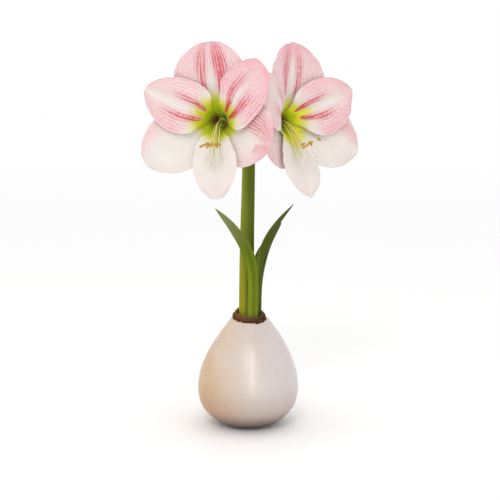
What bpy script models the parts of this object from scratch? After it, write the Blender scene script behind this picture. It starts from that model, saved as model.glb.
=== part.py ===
"""Waxed amaryllis bulb in flower.

A bulb dipped in wax stands on its flattened underside. A green scape with two open blooms
and four strap leaves grow out of its dry neck. All dimensions below are in millimetres.
The origin is the centre of the flat underside, +Z is up and the blooms face -Y.
"""

import math

import bmesh
import bpy
import numpy as np
from mathutils import Matrix, Vector

MM = 0.001
GAP = 0.3

# Wax coat: outer outline from the underside to the edge at the neck, as (radius, height)
WAX_OUTLINE = ((24.5, 1.3), (32.2, 5.0), (40.7, 12.0), (47.4, 22.0), (50.0, 35.0), (49.2, 47.0),
               (45.8, 60.0), (39.8, 74.0), (31.8, 88.0), (23.2, 100.0), (17.8, 106.3))
WAX_FOOT_RADIUS = 19.0
WAX_THICKNESS = 2.0
WAX_EDGE_TILT = 2.3
WAX_EDGE_WAVE = 0.3
WAX_EDGE_LOWEST = -1.25
NECK_TILT_START = 0.8
NECK_LEAN_START = 0.45
TURNED_SIDES = 40

# Bulb inside the wax, with its dry brown neck and the pocket that leaves and scape grow from
NECK_CENTRE = (1.6, 0.3)
NECK_OUTLINE = ((15.4, 107.8), (15.2, 110.0), (14.0, 112.0))
NECK_POCKET_RADIUS = 12.3
NECK_FLOOR = 96.0
NECK_RIM_RISE = 1.0
NECK_RIM_NOTCH = 0.35
NECK_RIM_HIGHEST = 0.6
SKIN_CLEARANCE = 0.65

# Scape: the bare flower stem
SCAPE_FOOT = (-1.6, 0.6)
SCAPE_HEAD = (0.8, 2.0, 283.0)
SCAPE_BOW = -1.2
SCAPE_FOOT_RADIUS = 8.0
SCAPE_HEAD_RADIUS = 6.0

# Blooms: where the six tepals join, which way the throat looks, and how far the tepals flare
TUBE_RADIUS = 4.0
TUBE_DEPTH = 24.0
TUBE_CURL = 9.0
WHORL_SHIFT = 2.8
TEPAL_THICKNESS = 0.7
TEPAL_ROWS = 14
TEPAL_COLUMNS = 8
TIP_CUT = 0.977
TIP_BOW = 1.1
TIP_CURL = 2.0
TEPAL_SPACING = 1.25
ROW_CROWDING = 0.07
# Where a tepal opens, widens from its claw and turns aside, as reaches from the throat's middle
OPENING_REACH = (3.0, 9.0)
CLAW_REACH = (9.0, 21.0)
CLAW_HALF_ANGLES = (30.0, 58.0)
TURN_REACH = (8.0, 34.0)
SHIFT_REACH = (3.0, 13.0)
# Relief on each blade: the sunken midrib, the bulge beside it, the dropped and rippled margin
MIDRIB_DEPTH = 1.2
MIDRIB_WIDTH = 0.2
BULGE_HEIGHT = 1.0
MARGIN_DROP = 1.0
RIPPLE_HEIGHT = 0.7
RIPPLES = 2.0
RIPPLE_STEP = 0.37
RIPPLE_OFFSET = 1.3
# For each tepal: its turn in degrees, its length, its widths on both sides, how full it is
# towards foot and tip, and how far its tip sways sideways
BLOOMS = {
    "left": {
        "throat": (-23.4, -45.0, 301.1), "yaw": -15.0,
        "flare": {"side": 0.27, "top": 0.14, "bottom": 0.20, "left": 0.0, "right": 0.08},
        "tepals": {
            "top": (5, 71, (34, 33), (1.29, 0.50), -1.5),
            "upper_left": (5, 67, (24.5, 25), (0.98, 0.53), -1),
            "lower_left": (0, 73, (26, 29), (1.20, 0.53), -1),
            "bottom": (4, 68.5, (20.5, 21), (1.24, 0.55), 0),
            "lower_right": (6, 58.5, (34, 29), (1.28, 0.56), 3),
            "upper_right": (15, 70, (20.5, 26.5), (1.25, 0.50), 3),
        },
    },
    "right": {
        "throat": (24.7, -8.0, 300.8), "yaw": 41.0,
        "flare": {"side": 0.33, "top": 0.12, "bottom": 0.36, "left": 0.20, "right": 0.0},
        "tepals": {
            "top": (1, 73.5, (33.5, 36.5), (1.26, 0.54), 0),
            "upper_left": (-6, 71, (27, 13), (1.30, 0.59), -1),
            "lower_left": (-2, 56, (30.5, 25), (1.28, 0.58), -1),
            "bottom": (-4, 69, (20, 27), (1.22, 0.58), 8),
            "lower_right": (5, 76, (30.5, 27), (1.22, 0.52), 2),
            "upper_right": (-3, 67.5, (26, 29), (1.02, 0.52), -1),
        },
    },
}
TEPAL_ORDER = ("upper_right", "top", "upper_left", "lower_left", "bottom", "lower_right")
INNER_WHORL = ("upper_right", "upper_left", "bottom")

# Flower bases: pedicel, ovary and short tube behind the tepals
TUBE_OUTLINE = ((5.6, -0.5), (5.8, -3.0), (5.0, -8.0), (4.7, -12.0), (5.6, -16.0), (5.4, -20.0),
                (3.8, -24.0))
PEDICEL_RADIUS = 3.0
PEDICEL_FOOT = {"left": (-2.0, 0.4), "right": (3.7, 3.8)}
PEDICEL_SWEEP = 9.0
PEDICEL_OVERLAP = 3.0

# Stamens and pistil: how far forward and how high each point of the first filament lies
FILAMENT_PATH = ((-0.2, -2.4), (9.0, -3.2), (20.0, -8.0), (31.0, -19.0), (39.0, -31.5), (45.0, -37.0),
                 (50.5, -34.0), (52.5, -26.5), (51.5, -20.0))
FILAMENT_FLARE = 0.20
FILAMENT_RADIUS = 0.75
FILAMENT_STEP = 40.0
FILAMENT_START = -100.0
FILAMENT_LIFT = 1.4
FILAMENT_SHORTER = 0.05
STAMEN_RING = (1.7, 3.1)
STAMEN_RING_ENDS = (-0.2, 1.3)
STAMEN_SPREAD = {
    "left": (-5.0, -2.3, 0.4, 5.2, 8.0, 11.0),
    "right": (-11.0, -8.0, -5.0, -2.3, 2.3, 7.0),
}
ANTHER_LENGTH = 5.0
ANTHER_RADIUS = 1.1
STYLE_PATH = ((0.0, 0.5), (10.0, 0.6), (21.0, -2.8), (32.0, -13.0), (41.0, -25.5), (49.0, -33.0),
              (58.0, -36.0))
STYLE_RADIUS = 0.85
STIGMA_RADIUS = 1.6
STYLE_SHIFT = {"left": 2.8, "right": 0.0}

# Leaves: the middle line from the neck to the tip, the way the inner face looks at the foot,
# the width, and how deep the leaf is channelled
LEAF_THICKNESS = 1.6
LEAVES = {
    "leaf_front_left": {
        "path": ((4.9, -9.9, 96.3), (4.9, -10.4, 118.0), (5.3, -12.6, 142.0), (3.9, -15.2, 161.0),
                 (-3.0, -18.0, 181.0), (-15.5, -22.0, 200.6), (-31.0, -28.0, 218.6)),
        "face": (-0.31, 0.95, 0.0), "width": 10.8, "channel": 1.5,
    },
    "leaf_front_right": {
        "path": ((8.2, -5.3, 96.3), (8.8, -5.0, 118.0), (10.2, -4.8, 141.0), (12.8, -5.6, 163.0),
                 (19.8, -10.0, 186.0), (30.0, -13.5, 204.0), (43.0, -19.0, 221.5)),
        "face": (-0.77, 0.64, 0.0), "width": 9.8, "channel": 1.4,
    },
    "leaf_back_right": {
        "path": ((11.4, 4.3, 96.3), (11.8, 4.5, 118.0), (12.6, 5.0, 140.0), (15.8, 6.0, 160.0),
                 (22.4, 7.5, 180.0), (34.2, 11.0, 201.0)),
        "face": (-0.93, -0.37, 0.0), "width": 9.2, "channel": 1.1,
    },
    "leaf_back": {
        "path": ((2.7, 10.4, 96.3), (3.0, 10.7, 112.0), (5.2, 12.0, 136.0), (9.0, 13.0, 160.0),
                 (13.6, 14.5, 177.5)),
        "face": (-0.10, -0.99, 0.0), "width": 8.0, "channel": 0.7,
    },
}

# Dry spathe valves at the head of the scape
BRACTS = {
    "spathe_left": {
        "path": ((-6.6, 5.4, 276.0), (-7.4, 6.0, 283.0), (-10.0, 9.0, 290.0), (-14.5, 13.0, 295.0),
                 (-20.0, 17.0, 297.0), (-26.0, 20.0, 294.0)),
        "face": (0.78, -0.62, 0.0), "width": 8.0, "channel": 1.2,
    },
    "spathe_right": {
        "path": ((2.65, 8.55, 275.0), (3.1, 10.2, 283.0), (4.6, 16.0, 290.0), (6.4, 22.0, 290.0),
                 (8.0, 26.5, 284.0), (9.0, 28.5, 274.0)),
        "face": (-0.2, -0.98, 0.0), "width": 8.0, "channel": 1.0,
    },
}
BRACT_THICKNESS = 0.8

WAX = (0.86, 0.78, 0.73, 1.0)
DRY_SKIN = (0.36, 0.20, 0.10, 1.0)
SCAPE_GREEN = (0.16, 0.22, 0.03, 1.0)
LEAF_GREEN = (0.15, 0.27, 0.05, 1.0)
TUBE_GREEN = (0.30, 0.42, 0.08, 1.0)
TEPAL_PINK = (0.95, 0.66, 0.66, 1.0)
FILAMENT_WHITE = (0.86, 0.86, 0.66, 1.0)
STYLE_WHITE = (0.90, 0.80, 0.74, 1.0)
BRACT_BROWN = (0.42, 0.30, 0.16, 1.0)


def clear_scene():
    for obj in list(bpy.data.objects):
        bpy.data.objects.remove(obj, do_unlink=True)


def new_collection(name):
    collection = bpy.data.collections.new(name)
    bpy.context.scene.collection.children.link(collection)
    return collection


def new_material(name, colour, roughness):
    material = bpy.data.materials.new(name)
    material.use_nodes = True
    shader = material.node_tree.nodes["Principled BSDF"]
    shader.inputs["Base Color"].default_value = colour
    shader.inputs["Roughness"].default_value = roughness
    shader.inputs["Metallic"].default_value = 0.0
    return material


def new_object(name, mesh, collection, material=None):
    obj = bpy.data.objects.new(name, mesh)
    collection.objects.link(obj)
    if material is not None:
        mesh.materials.append(material)
    return obj


def evaluated_mesh(obj):
    """The object's mesh with its modifiers in it."""
    depsgraph = bpy.context.evaluated_depsgraph_get()
    return bpy.data.meshes.new_from_object(obj.evaluated_get(depsgraph))


def bake(obj):
    """Replaces the object's modifiers by their result."""
    mesh = evaluated_mesh(obj)
    obj.modifiers.clear()
    obj.data = mesh


def ease(value, start, end):
    """0 before start, 1 after end and a soft step between them."""
    part = np.clip((value - start) / (end - start), 0.0, 1.0)
    return part * part * (3.0 - 2.0 * part)


def curve_through(points, steps):
    """A smooth curve through the points, as steps + 1 evenly timed places."""
    knots = np.array(points, dtype=float)
    padded = np.vstack([2 * knots[0] - knots[1], knots, 2 * knots[-1] - knots[-2]])
    places = []
    for time in np.linspace(0.0, len(knots) - 1.0, steps + 1):
        span = min(int(time), len(knots) - 2)
        u = time - span
        a, b, c, d = padded[span:span + 4]
        places.append(0.5 * (2 * b + (c - a) * u + (2 * a - 5 * b + 4 * c - d) * u**2
                             + (3 * b - a - 3 * c + d) * u**3))
    return np.array(places)


def turned(name, outline, sides, collection, material=None, closed=False):
    """A surface turned about Z from an outline of (radius, height), running top to bottom."""
    mesh = bpy.data.meshes.new(name)
    points = [(radius * MM, 0.0, height * MM) for radius, height in outline]
    edges = [(i, i + 1) for i in range(len(points) - 1)]
    if closed:
        edges.append((len(points) - 1, 0))
    mesh.from_pydata(points, edges, [])
    obj = new_object(name, mesh, collection, material)
    screw = obj.modifiers.new("turn", "SCREW")
    screw.axis = "Z"
    screw.steps = sides
    screw.render_steps = sides
    screw.use_merge_vertices = True
    screw.merge_threshold = 0.00001
    screw.use_smooth_shade = True
    return obj


def sheet(name, points, thickness, collection, material):
    """A thin blade from a grid of points, triangulated first so that both faces split alike."""
    rows, columns = points.shape[:2]
    corners = [tuple(p) for p in points.reshape(-1, 3) * MM]
    faces = []
    for i in range(rows - 1):
        for j in range(columns - 1):
            a = i * columns + j
            b = a + 1
            c = b + columns
            d = a + columns
            if j < columns // 2:
                faces += [(a, b, c), (a, c, d)]
            else:
                faces += [(a, b, d), (b, c, d)]
    mesh = bpy.data.meshes.new(name)
    mesh.from_pydata(corners, [], faces)
    mesh.shade_smooth()
    obj = new_object(name, mesh, collection, material)
    solid = obj.modifiers.new("thickness", "SOLIDIFY")
    solid.thickness = thickness * MM
    solid.offset = 0.0
    solid.use_rim = True
    return obj


def cross_frames(path, up=(0.0, 0.0, 1.0)):
    """Two directions across a path at each of its points."""
    tangents = np.gradient(path, axis=0)
    tangents /= np.linalg.norm(tangents, axis=1)[:, None]
    side = np.cross(np.array(up), tangents)
    weak = np.linalg.norm(side, axis=1) < 0.2
    side[weak] = np.cross(np.array((0.0, 1.0, 0.0)), tangents[weak])
    side /= np.linalg.norm(side, axis=1)[:, None]
    return side, np.cross(tangents, side)


def tube_mesh(name, path, radii, sides, reference=(0.0, 0.0, 1.0)):
    """A closed round bar along a path whose radius changes from point to point."""
    side, over = cross_frames(path, reference)
    bm = bmesh.new()
    rings = []
    for centre, radius, a, b in zip(path, radii, side, over):
        ring = []
        for k in range(sides):
            angle = 2 * math.pi * k / sides
            spot = centre + radius * (math.cos(angle) * a + math.sin(angle) * b)
            ring.append(bm.verts.new(Vector(spot) * MM))
        rings.append(ring)
    for low, high in zip(rings, rings[1:]):
        for k in range(sides):
            n = (k + 1) % sides
            bm.faces.new((low[k], low[n], high[n], high[k]))
    bm.faces.new(list(reversed(rings[0])))
    bm.faces.new(rings[-1])
    bmesh.ops.recalc_face_normals(bm, faces=bm.faces)
    mesh = bpy.data.meshes.new(name)
    bm.to_mesh(mesh)
    bm.free()
    mesh.shade_smooth()
    return mesh


def union(base, others):
    """Joins closed bodies that cross each other into the base object."""
    for other in others:
        join = base.modifiers.new("join", "BOOLEAN")
        join.operation = "UNION"
        join.solver = "MANIFOLD"
        join.object = other
        bake(base)
        bpy.data.objects.remove(other, do_unlink=True)


def wax_line(steps):
    """The wax coat's outer outline from the underside to its edge, with no foot."""
    return curve_through(WAX_OUTLINE, steps)


def edge_lift(angle):
    """How much higher the wax edge runs at a direction round the neck."""
    return -WAX_EDGE_TILT * np.cos(angle - WAX_EDGE_LOWEST) + WAX_EDGE_WAVE * np.sin(3 * angle + 1.0)


def lean_to_neck(vertex, at_floor=False):
    """Moves a point of the upper bulb towards the neck's own centre and tilts the neck."""
    top = WAX_OUTLINE[-1][1] * MM
    angle = math.atan2(vertex.co.y, vertex.co.x)
    lean = 1.0 if at_floor else float(ease(vertex.co.z, NECK_LEAN_START * top, top))
    tilt = 0.0 if at_floor else float(ease(vertex.co.z, NECK_TILT_START * top, top))
    vertex.co.x += lean * NECK_CENTRE[0] * MM
    vertex.co.y += lean * NECK_CENTRE[1] * MM
    vertex.co.z += tilt * float(edge_lift(angle)) * MM


def make_wax_coat(collection, material):
    line = wax_line(13)
    outline = [tuple(p) for p in line[::-1]] + [(WAX_FOOT_RADIUS, 0.0), (0.0, 0.0)]
    coat = turned("wax_coat", outline, TURNED_SIDES, collection, material)
    bake(coat)
    for vertex in coat.data.vertices:
        lean_to_neck(vertex)
    solid = coat.modifiers.new("coat", "SOLIDIFY")
    solid.thickness = WAX_THICKNESS * MM
    solid.offset = -1.0
    solid.use_even_offset = True
    return coat


def make_bulb(collection, material):
    """The bulb fills the wax coat up to a gap and ends in a dry neck with an open pocket."""
    line = wax_line(15)
    along = np.gradient(line, axis=0)
    along /= np.linalg.norm(along, axis=1)[:, None]
    inward = np.stack([-along[:, 1], along[:, 0]], axis=1)
    inset = line + inward * (WAX_THICKNESS + SKIN_CLEARANCE)
    floor = WAX_THICKNESS + GAP
    wall = [tuple(p) for p in inset if p[1] > floor + 2.0]
    foot = [(WAX_FOOT_RADIUS, floor), (0.0, floor)]
    rim = NECK_OUTLINE[-1][1]
    pocket = [(0.0, NECK_FLOOR), (NECK_POCKET_RADIUS - 0.8, NECK_FLOOR)]
    pocket += [(NECK_POCKET_RADIUS, NECK_FLOOR + 1.2), (NECK_POCKET_RADIUS, rim - 0.6)]
    pocket += [(NECK_POCKET_RADIUS + 0.7, rim)]
    outline = pocket + list(reversed(NECK_OUTLINE)) + wall[::-1] + foot
    bulb = turned("bulb", outline, TURNED_SIDES, collection, material)
    bake(bulb)
    skin_end = NECK_OUTLINE[0][1] * MM
    for vertex in bulb.data.vertices:
        radius = math.hypot(vertex.co.x, vertex.co.y)
        at_floor = 0.0 <= vertex.co.z - NECK_FLOOR * MM < 2.0 * MM and radius < (NECK_POCKET_RADIUS + 1.0) * MM
        if vertex.co.z > skin_end:
            angle = math.atan2(vertex.co.y, vertex.co.x)
            notch = NECK_RIM_NOTCH * math.sin(7 * angle) + NECK_RIM_NOTCH * math.sin(12 * angle + 2)
            rise = NECK_RIM_RISE * (0.5 + 0.5 * math.sin(angle + NECK_RIM_HIGHEST))
            vertex.co.z += (rise + notch) * MM
        lean_to_neck(vertex, at_floor)
    return bulb


def make_scape(collection, material):
    foot = np.array((SCAPE_FOOT[0], SCAPE_FOOT[1], NECK_FLOOR + GAP))
    head = np.array(SCAPE_HEAD)
    share = np.linspace(0.0, 1.0, 13)
    path = foot + (head - foot) * share[:, None]
    path[:, 0] += SCAPE_BOW * np.sin(math.pi * share) ** 2 * (1 - share)
    path[:, 2] = foot[2] + (head[2] - foot[2]) * share
    radii = SCAPE_FOOT_RADIUS + (SCAPE_HEAD_RADIUS - SCAPE_FOOT_RADIUS) * share ** 0.8
    return new_object("scape", tube_mesh("scape", path, radii, 20, (0.0, 1.0, 0.0)), collection, material)


def carried(tangent, face):
    """A direction across a path, carried along it without turning round it."""
    faces = []
    current = np.array(face)
    for heading in tangent:
        current = current - np.dot(current, heading) * heading
        current /= np.linalg.norm(current)
        faces.append(current)
    return np.array(faces)


def strap(row, rows, columns, tip_width=1.2, fullness=1.0):
    """A strap leaf's middle surface: parallel sides, a drawn-out tip and a channel along it."""
    path = curve_through(row["path"], rows)
    share = np.linspace(0.0, 1.0, rows + 1)
    tangent = np.gradient(path, axis=0)
    tangent /= np.linalg.norm(tangent, axis=1)[:, None]
    face = carried(tangent, row["face"])
    across = np.cross(tangent, face)
    half = 0.5 * row["width"] * (1.0 - share ** 4.5) ** fullness
    half = np.maximum(half, 0.5 * tip_width)
    place = np.linspace(-1.0, 1.0, columns + 1)
    depth = row["channel"] * (half / (0.5 * row["width"])) ** 1.5
    return (path[:, None, :] + half[:, None, None] * place[None, :, None] * across[:, None, :]
            + depth[:, None, None] * (place ** 2)[None, :, None] * face[:, None, :])


class Bloom:
    """The shape of one bloom, from its own directions: a forward, r to the right and u up."""

    def __init__(self, row):
        yaw = math.radians(row["yaw"])
        self.throat = np.array(row["throat"])
        self.a = np.array((math.sin(yaw), -math.cos(yaw), 0.0))
        self.r = np.array((math.cos(yaw), math.sin(yaw), 0.0))
        self.u = np.array((0.0, 0.0, 1.0))
        self.flare = row["flare"]
        self.tepals = row["tepals"]

    def place(self, right, up, forward):
        right, up, forward = (np.asarray(v, dtype=float)[..., None] for v in (right, up, forward))
        return self.throat + right * self.r + up * self.u + forward * self.a

    def rise(self, radius, angle):
        """How far in front of the throat the open bloom lies at a radius and a direction."""
        sine, cosine = np.sin(angle), np.cos(angle)
        flare = self.flare
        end = np.where(sine > 0, flare["top"], flare["bottom"])
        slope = flare["side"] + (end - flare["side"]) * sine ** 2
        slope = slope + flare["left"] * np.clip(-cosine, 0, 1) ** 2
        slope = slope + flare["right"] * np.clip(cosine, 0, 1) ** 2
        run = np.maximum(radius - TUBE_RADIUS, 0.0)
        return TUBE_DEPTH * (1 - np.exp(-run / TUBE_CURL)) + slope * run

    def tepal(self, name, along, across):
        """Places on a tepal: along runs from foot to tip, across from -1 to 1 over its width."""
        turn, length, widths, fullness, sway = self.tepals[name]
        along, across = np.broadcast_arrays(along, across)
        index = TEPAL_ORDER.index(name)
        reach = TUBE_RADIUS + (length - TUBE_RADIUS) * along ** TEPAL_SPACING
        angle = math.radians(30 + 60 * index) + math.radians(turn) * ease(reach, *TURN_REACH)
        power, bluntness = fullness
        widest = np.where(across > 0, widths[0], widths[1])
        profile = np.sin(math.pi * np.clip(TIP_CUT * along, 0, 1) ** power)
        blade = widest * np.maximum(profile, 1e-6) ** bluntness
        narrow, wide = CLAW_HALF_ANGLES
        claw = reach * np.tan(np.radians(narrow + (wide - narrow) * ease(reach, *CLAW_REACH))) - 0.5 * GAP
        opening = ease(reach, *OPENING_REACH)
        blade = blade * opening + length * (1 - opening)
        half = (blade ** -6 + claw ** -6) ** (-1 / 6)
        sideways = across * half + sway * along ** 2
        reach = reach - TIP_BOW * across ** 2 * ease(along, 0.7, 1.0)
        x = reach * np.cos(angle) - sideways * np.sin(angle)
        y = reach * np.sin(angle) + sideways * np.cos(angle)
        forward = self.rise(np.hypot(x, y), np.arctan2(y, x))
        layer = 1.0 if name in INNER_WHORL else -1.0
        edge = np.abs(across)
        forward = forward + layer * WHORL_SHIFT * ease(reach, *SHIFT_REACH)
        midrib = np.exp(-(across / MIDRIB_WIDTH) ** 2) * np.sin(math.pi * np.clip(along, 0, 1)) ** 0.7
        forward = forward - MIDRIB_DEPTH * midrib
        forward = forward - MARGIN_DROP * edge ** 4 * ease(along, 0.15, 0.6)
        bulge = np.sin(math.pi * edge) ** 2 * ease(along, 0.15, 0.5) * (1 - ease(along, 0.85, 1.0))
        forward = forward + BULGE_HEIGHT * bulge
        wave = 2 * math.pi * (RIPPLES * along + RIPPLE_STEP * index) + RIPPLE_OFFSET * np.sign(across)
        forward = forward + RIPPLE_HEIGHT * edge ** 2 * np.sin(wave) * ease(along, 0.2, 0.5)
        forward = forward - TIP_CURL * ease(along, 0.78, 1.0) ** 1.5
        return self.place(x, y, forward)


def make_tepals(side, bloom, collection, material):
    along = np.linspace(0.0, 1.0, TEPAL_ROWS)[:, None]
    along = along - ROW_CROWDING * np.sin(2 * math.pi * along)
    across = np.linspace(-1.0, 1.0, TEPAL_COLUMNS + 1)[None, :]
    for name in TEPAL_ORDER:
        points = bloom.tepal(name, along, across)
        sheet(f"{side}_tepal_{name}", points, TEPAL_THICKNESS, collection, material)


def make_flower_base(side, bloom, collection, material):
    """The green tube, the ovary and the pedicel that bends down to the head of the scape."""
    turn = Matrix((bloom.r, bloom.u, bloom.a)).transposed().to_4x4()
    turn.translation = Vector(bloom.throat) * MM
    outline = [(0.0, TUBE_OUTLINE[0][1])] + list(TUBE_OUTLINE) + [(0.0, TUBE_OUTLINE[-1][1])]
    base = turned(f"{side}_flower_base", outline, 20, collection, material)
    bake(base)
    base.data.transform(turn)
    foot = np.array((*PEDICEL_FOOT[side], SCAPE_HEAD[2] + GAP))
    inside = bloom.place(0.0, 0.0, TUBE_OUTLINE[-1][1] + PEDICEL_OVERLAP)
    start = foot + np.array((0.0, 0.0, 1.0))
    lift = start + np.array((0.0, 0.0, PEDICEL_SWEEP))
    pull = inside - bloom.a * PEDICEL_SWEEP
    time = np.linspace(0.0, 1.0, 9)[:, None]
    bend = (start * (1 - time) ** 3 + 3 * lift * time * (1 - time) ** 2 + 3 * pull * time ** 2 * (1 - time)
            + inside * time ** 3)
    path = np.vstack([foot, bend])
    radii = np.linspace(PEDICEL_RADIUS, PEDICEL_RADIUS * 1.1, len(path))
    name = f"{side}_pedicel"
    stalk = new_object(name, tube_mesh(name, path, radii, 12, (0.3, 1.0, 0.1)), collection)
    union(base, [stalk])
    return base


def lean(bloom, heights):
    """How much further forward low parts lie where a bloom's lower tepals flare more."""
    drop = np.maximum(-heights - 4.0, 0.0)
    return (bloom.flare["bottom"] - FILAMENT_FLARE) * np.maximum.accumulate(drop)


def filament_points(bloom, side, index, steps=9):
    """One filament: it leaves the throat, lies along the lower tepals and hooks up at its end."""
    middle = curve_through(FILAMENT_PATH, steps)
    share = np.linspace(0.0, 1.0, len(middle))
    angle = math.radians(FILAMENT_STEP * index + FILAMENT_START)
    ring = 0.5 * (STAMEN_RING[0] + STAMEN_RING[1])
    settle = ease(share, 0.0, 0.45)
    forward = middle[:, 0] * (1.0 - FILAMENT_SHORTER * ((index * 2) % 3)) + lean(bloom, middle[:, 1])
    right = ring * math.sin(angle) * (1 - settle) + STAMEN_SPREAD[side][index] * ease(share, 0.05, 1.0)
    up = (middle[:, 1] + FILAMENT_LIFT * (index % 2)) * settle - ring * math.cos(angle) * (1 - settle)
    return bloom.place(right, up, forward)


def make_stamens(side, bloom, collection, material):
    """Six filaments with their anthers, on a short ring in the throat."""
    turn = Matrix((bloom.r, bloom.u, bloom.a)).transposed().to_4x4()
    turn.translation = Vector(bloom.throat) * MM
    inner, outer = STAMEN_RING
    back, front = STAMEN_RING_ENDS
    section = [(inner, front), (outer, front), (outer, back), (inner, back)]
    ring = turned(f"{side}_stamens", section, 18, collection, material, closed=True)
    bake(ring)
    ring.data.transform(turn)
    joined = []
    for index in range(6):
        path = filament_points(bloom, side, index)
        radii = np.linspace(FILAMENT_RADIUS, FILAMENT_RADIUS * 0.75, len(path))
        name = f"{side}_filament_{index}"
        joined.append(new_object(name, tube_mesh(name, path, radii, 5, bloom.r), collection))
        tip = path[-1]
        tilt = bloom.r * math.cos(0.5 * index) * 0.9 + bloom.u * 0.35
        ends = np.array([tip - tilt * share * ANTHER_LENGTH for share in np.linspace(-0.5, 0.5, 5)])
        swell = ANTHER_RADIUS * np.sqrt(np.array((0.25, 0.8, 1.0, 0.8, 0.25)))
        name = f"{side}_anther_{index}"
        joined.append(new_object(name, tube_mesh(name, ends, swell, 6, bloom.a), collection))
    union(ring, joined)
    return ring


def make_pistil(side, bloom, collection, material):
    """The long style, which swells into a small stigma."""
    middle = curve_through(STYLE_PATH, 14)
    right = np.linspace(0.0, STYLE_SHIFT[side], len(middle))
    path = bloom.place(right, middle[:, 1], middle[:, 0] + lean(bloom, middle[:, 1]))
    radii = np.full(len(path), STYLE_RADIUS)
    radii[-2:] = STIGMA_RADIUS, 0.7 * STIGMA_RADIUS
    name = f"{side}_pistil"
    return new_object(name, tube_mesh(name, path, radii, 8, bloom.r), collection, material)


def build():
    clear_scene()
    parts = new_collection("waxed_amaryllis_bulb")
    make_wax_coat(parts, new_material("wax", WAX, 0.35))
    make_bulb(parts, new_material("dry_skin", DRY_SKIN, 0.8))
    make_scape(parts, new_material("scape_green", SCAPE_GREEN, 0.5))
    leaf_green = new_material("leaf_green", LEAF_GREEN, 0.45)
    for name, row in LEAVES.items():
        sheet(name, strap(row, 15, 4, fullness=0.8), LEAF_THICKNESS, parts, leaf_green)
    bract_brown = new_material("bract_brown", BRACT_BROWN, 0.85)
    for name, row in BRACTS.items():
        sheet(name, strap(row, 10, 4, fullness=0.9), BRACT_THICKNESS, parts, bract_brown)
    tube_green = new_material("tube_green", TUBE_GREEN, 0.5)
    tepal_pink = new_material("tepal_pink", TEPAL_PINK, 0.45)
    filament_white = new_material("filament_white", FILAMENT_WHITE, 0.5)
    style_white = new_material("style_white", STYLE_WHITE, 0.5)
    for side, row in BLOOMS.items():
        bloom = Bloom(row)
        make_flower_base(side, bloom, parts, tube_green)
        make_tepals(side, bloom, parts, tepal_pink)
        make_stamens(side, bloom, parts, filament_white)
        make_pistil(side, bloom, parts, style_white)


build()
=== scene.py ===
"""The looks of a waxed amaryllis bulb in flower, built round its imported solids.

Shapes are worked out in millimetres in the part's own frame: the origin is the centre of the
flat underside, +Z is up and the blooms face -Y.
"""

import math

import bpy
import numpy as np
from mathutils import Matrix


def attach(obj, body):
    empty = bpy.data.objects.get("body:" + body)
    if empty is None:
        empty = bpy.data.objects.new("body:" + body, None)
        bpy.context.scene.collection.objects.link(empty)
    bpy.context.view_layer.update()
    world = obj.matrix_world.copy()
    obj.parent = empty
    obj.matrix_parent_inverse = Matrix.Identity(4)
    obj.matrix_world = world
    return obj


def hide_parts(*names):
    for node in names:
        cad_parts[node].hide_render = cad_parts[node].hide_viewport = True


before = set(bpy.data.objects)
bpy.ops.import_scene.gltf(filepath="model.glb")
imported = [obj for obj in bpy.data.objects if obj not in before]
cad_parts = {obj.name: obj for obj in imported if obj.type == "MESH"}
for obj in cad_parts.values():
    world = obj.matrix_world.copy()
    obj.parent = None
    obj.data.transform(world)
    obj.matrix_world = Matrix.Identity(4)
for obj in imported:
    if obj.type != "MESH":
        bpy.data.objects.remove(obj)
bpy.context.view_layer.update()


# Wax coat
# The bulb was dipped in melted wax. The coat is one skin about 2 mm thick: it stands on its
# own flattened underside, follows the bulb and ends in a soft uneven lip at the dry neck.

MM = 0.001
# Outlines are (radius, height): this one runs up the outside, and the foot's runs out to it
WAX_OUTLINE = ((24.5, 1.3), (32.2, 5.0), (40.7, 12.0), (47.4, 22.0), (50.0, 35.0), (49.2, 47.0),
               (45.8, 60.0), (39.8, 74.0), (31.8, 88.0), (23.2, 100.0), (17.8, 106.3))
WAX_TOP = WAX_OUTLINE[-1][1]
WAX_FOOT = ((5.0, 0.0), (10.0, 0.0), (14.0, 0.0), (17.0, 0.0), (19.0, 0.03), (20.6, 0.25),
            (22.4, 0.68))
WAX_INNER_FOOT = (19.0, 10.0, 1.0)
WAX_INNER_ROUNDING = 1.2
WAX_THICKNESS = 2.0
WAX_SIDES = 192
# How far the edge is tilted, how it waves and in which direction it is lowest
WAX_EDGE_TILT = 2.3
WAX_EDGE_WAVE = 0.3
WAX_EDGE_LOWEST = -1.25
# The shares of the wax's height from which it is tilted and leans to the neck's centre
NECK_TILT_START = 0.8
NECK_LEAN_START = 0.45
NECK_CENTRE = (1.6, 0.3)
LUMP_HEIGHT = 0.16
LUMP_SPAN = 108.0
LUMP_STEP = 9.0
CREASE_DEPTH = 0.30
CREASE_NARROWNESS = 2.2
CREASE_REACH = 6.0
POOL_RELIEF = 0.22
POOL_HEIGHT = 3.2
POOL_WAVE = 0.8
POOL_WIDTH = 1.3
LIP_WAVE = 0.35
LIP_WAVE_START = 101.0


class Value:
    """A socket of a material's nodes that Python's operators can be used on."""

    def __init__(self, paint, socket):
        self.paint = paint
        self.socket = socket

    def count(self, operation, *values):
        """One Math node's result."""
        return self.paint.node("ShaderNodeMath", {"operation": operation}, dict(enumerate(values)))

    def __add__(self, other):
        return self.count("ADD", self, other)

    def __sub__(self, other):
        return self.count("SUBTRACT", self, other)

    def __rsub__(self, other):
        return self.count("SUBTRACT", other, self)

    def __mul__(self, other):
        return self.count("MULTIPLY", self, other)

    __radd__ = __add__
    __rmul__ = __mul__

    def step(self, low, high):
        """0 below low, 1 above high and a soft step between them."""
        values = {"Value": self, "From Min": low, "From Max": high}
        return self.paint.node("ShaderNodeMapRange", {"interpolation_type": "SMOOTHSTEP"}, values)


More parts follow.
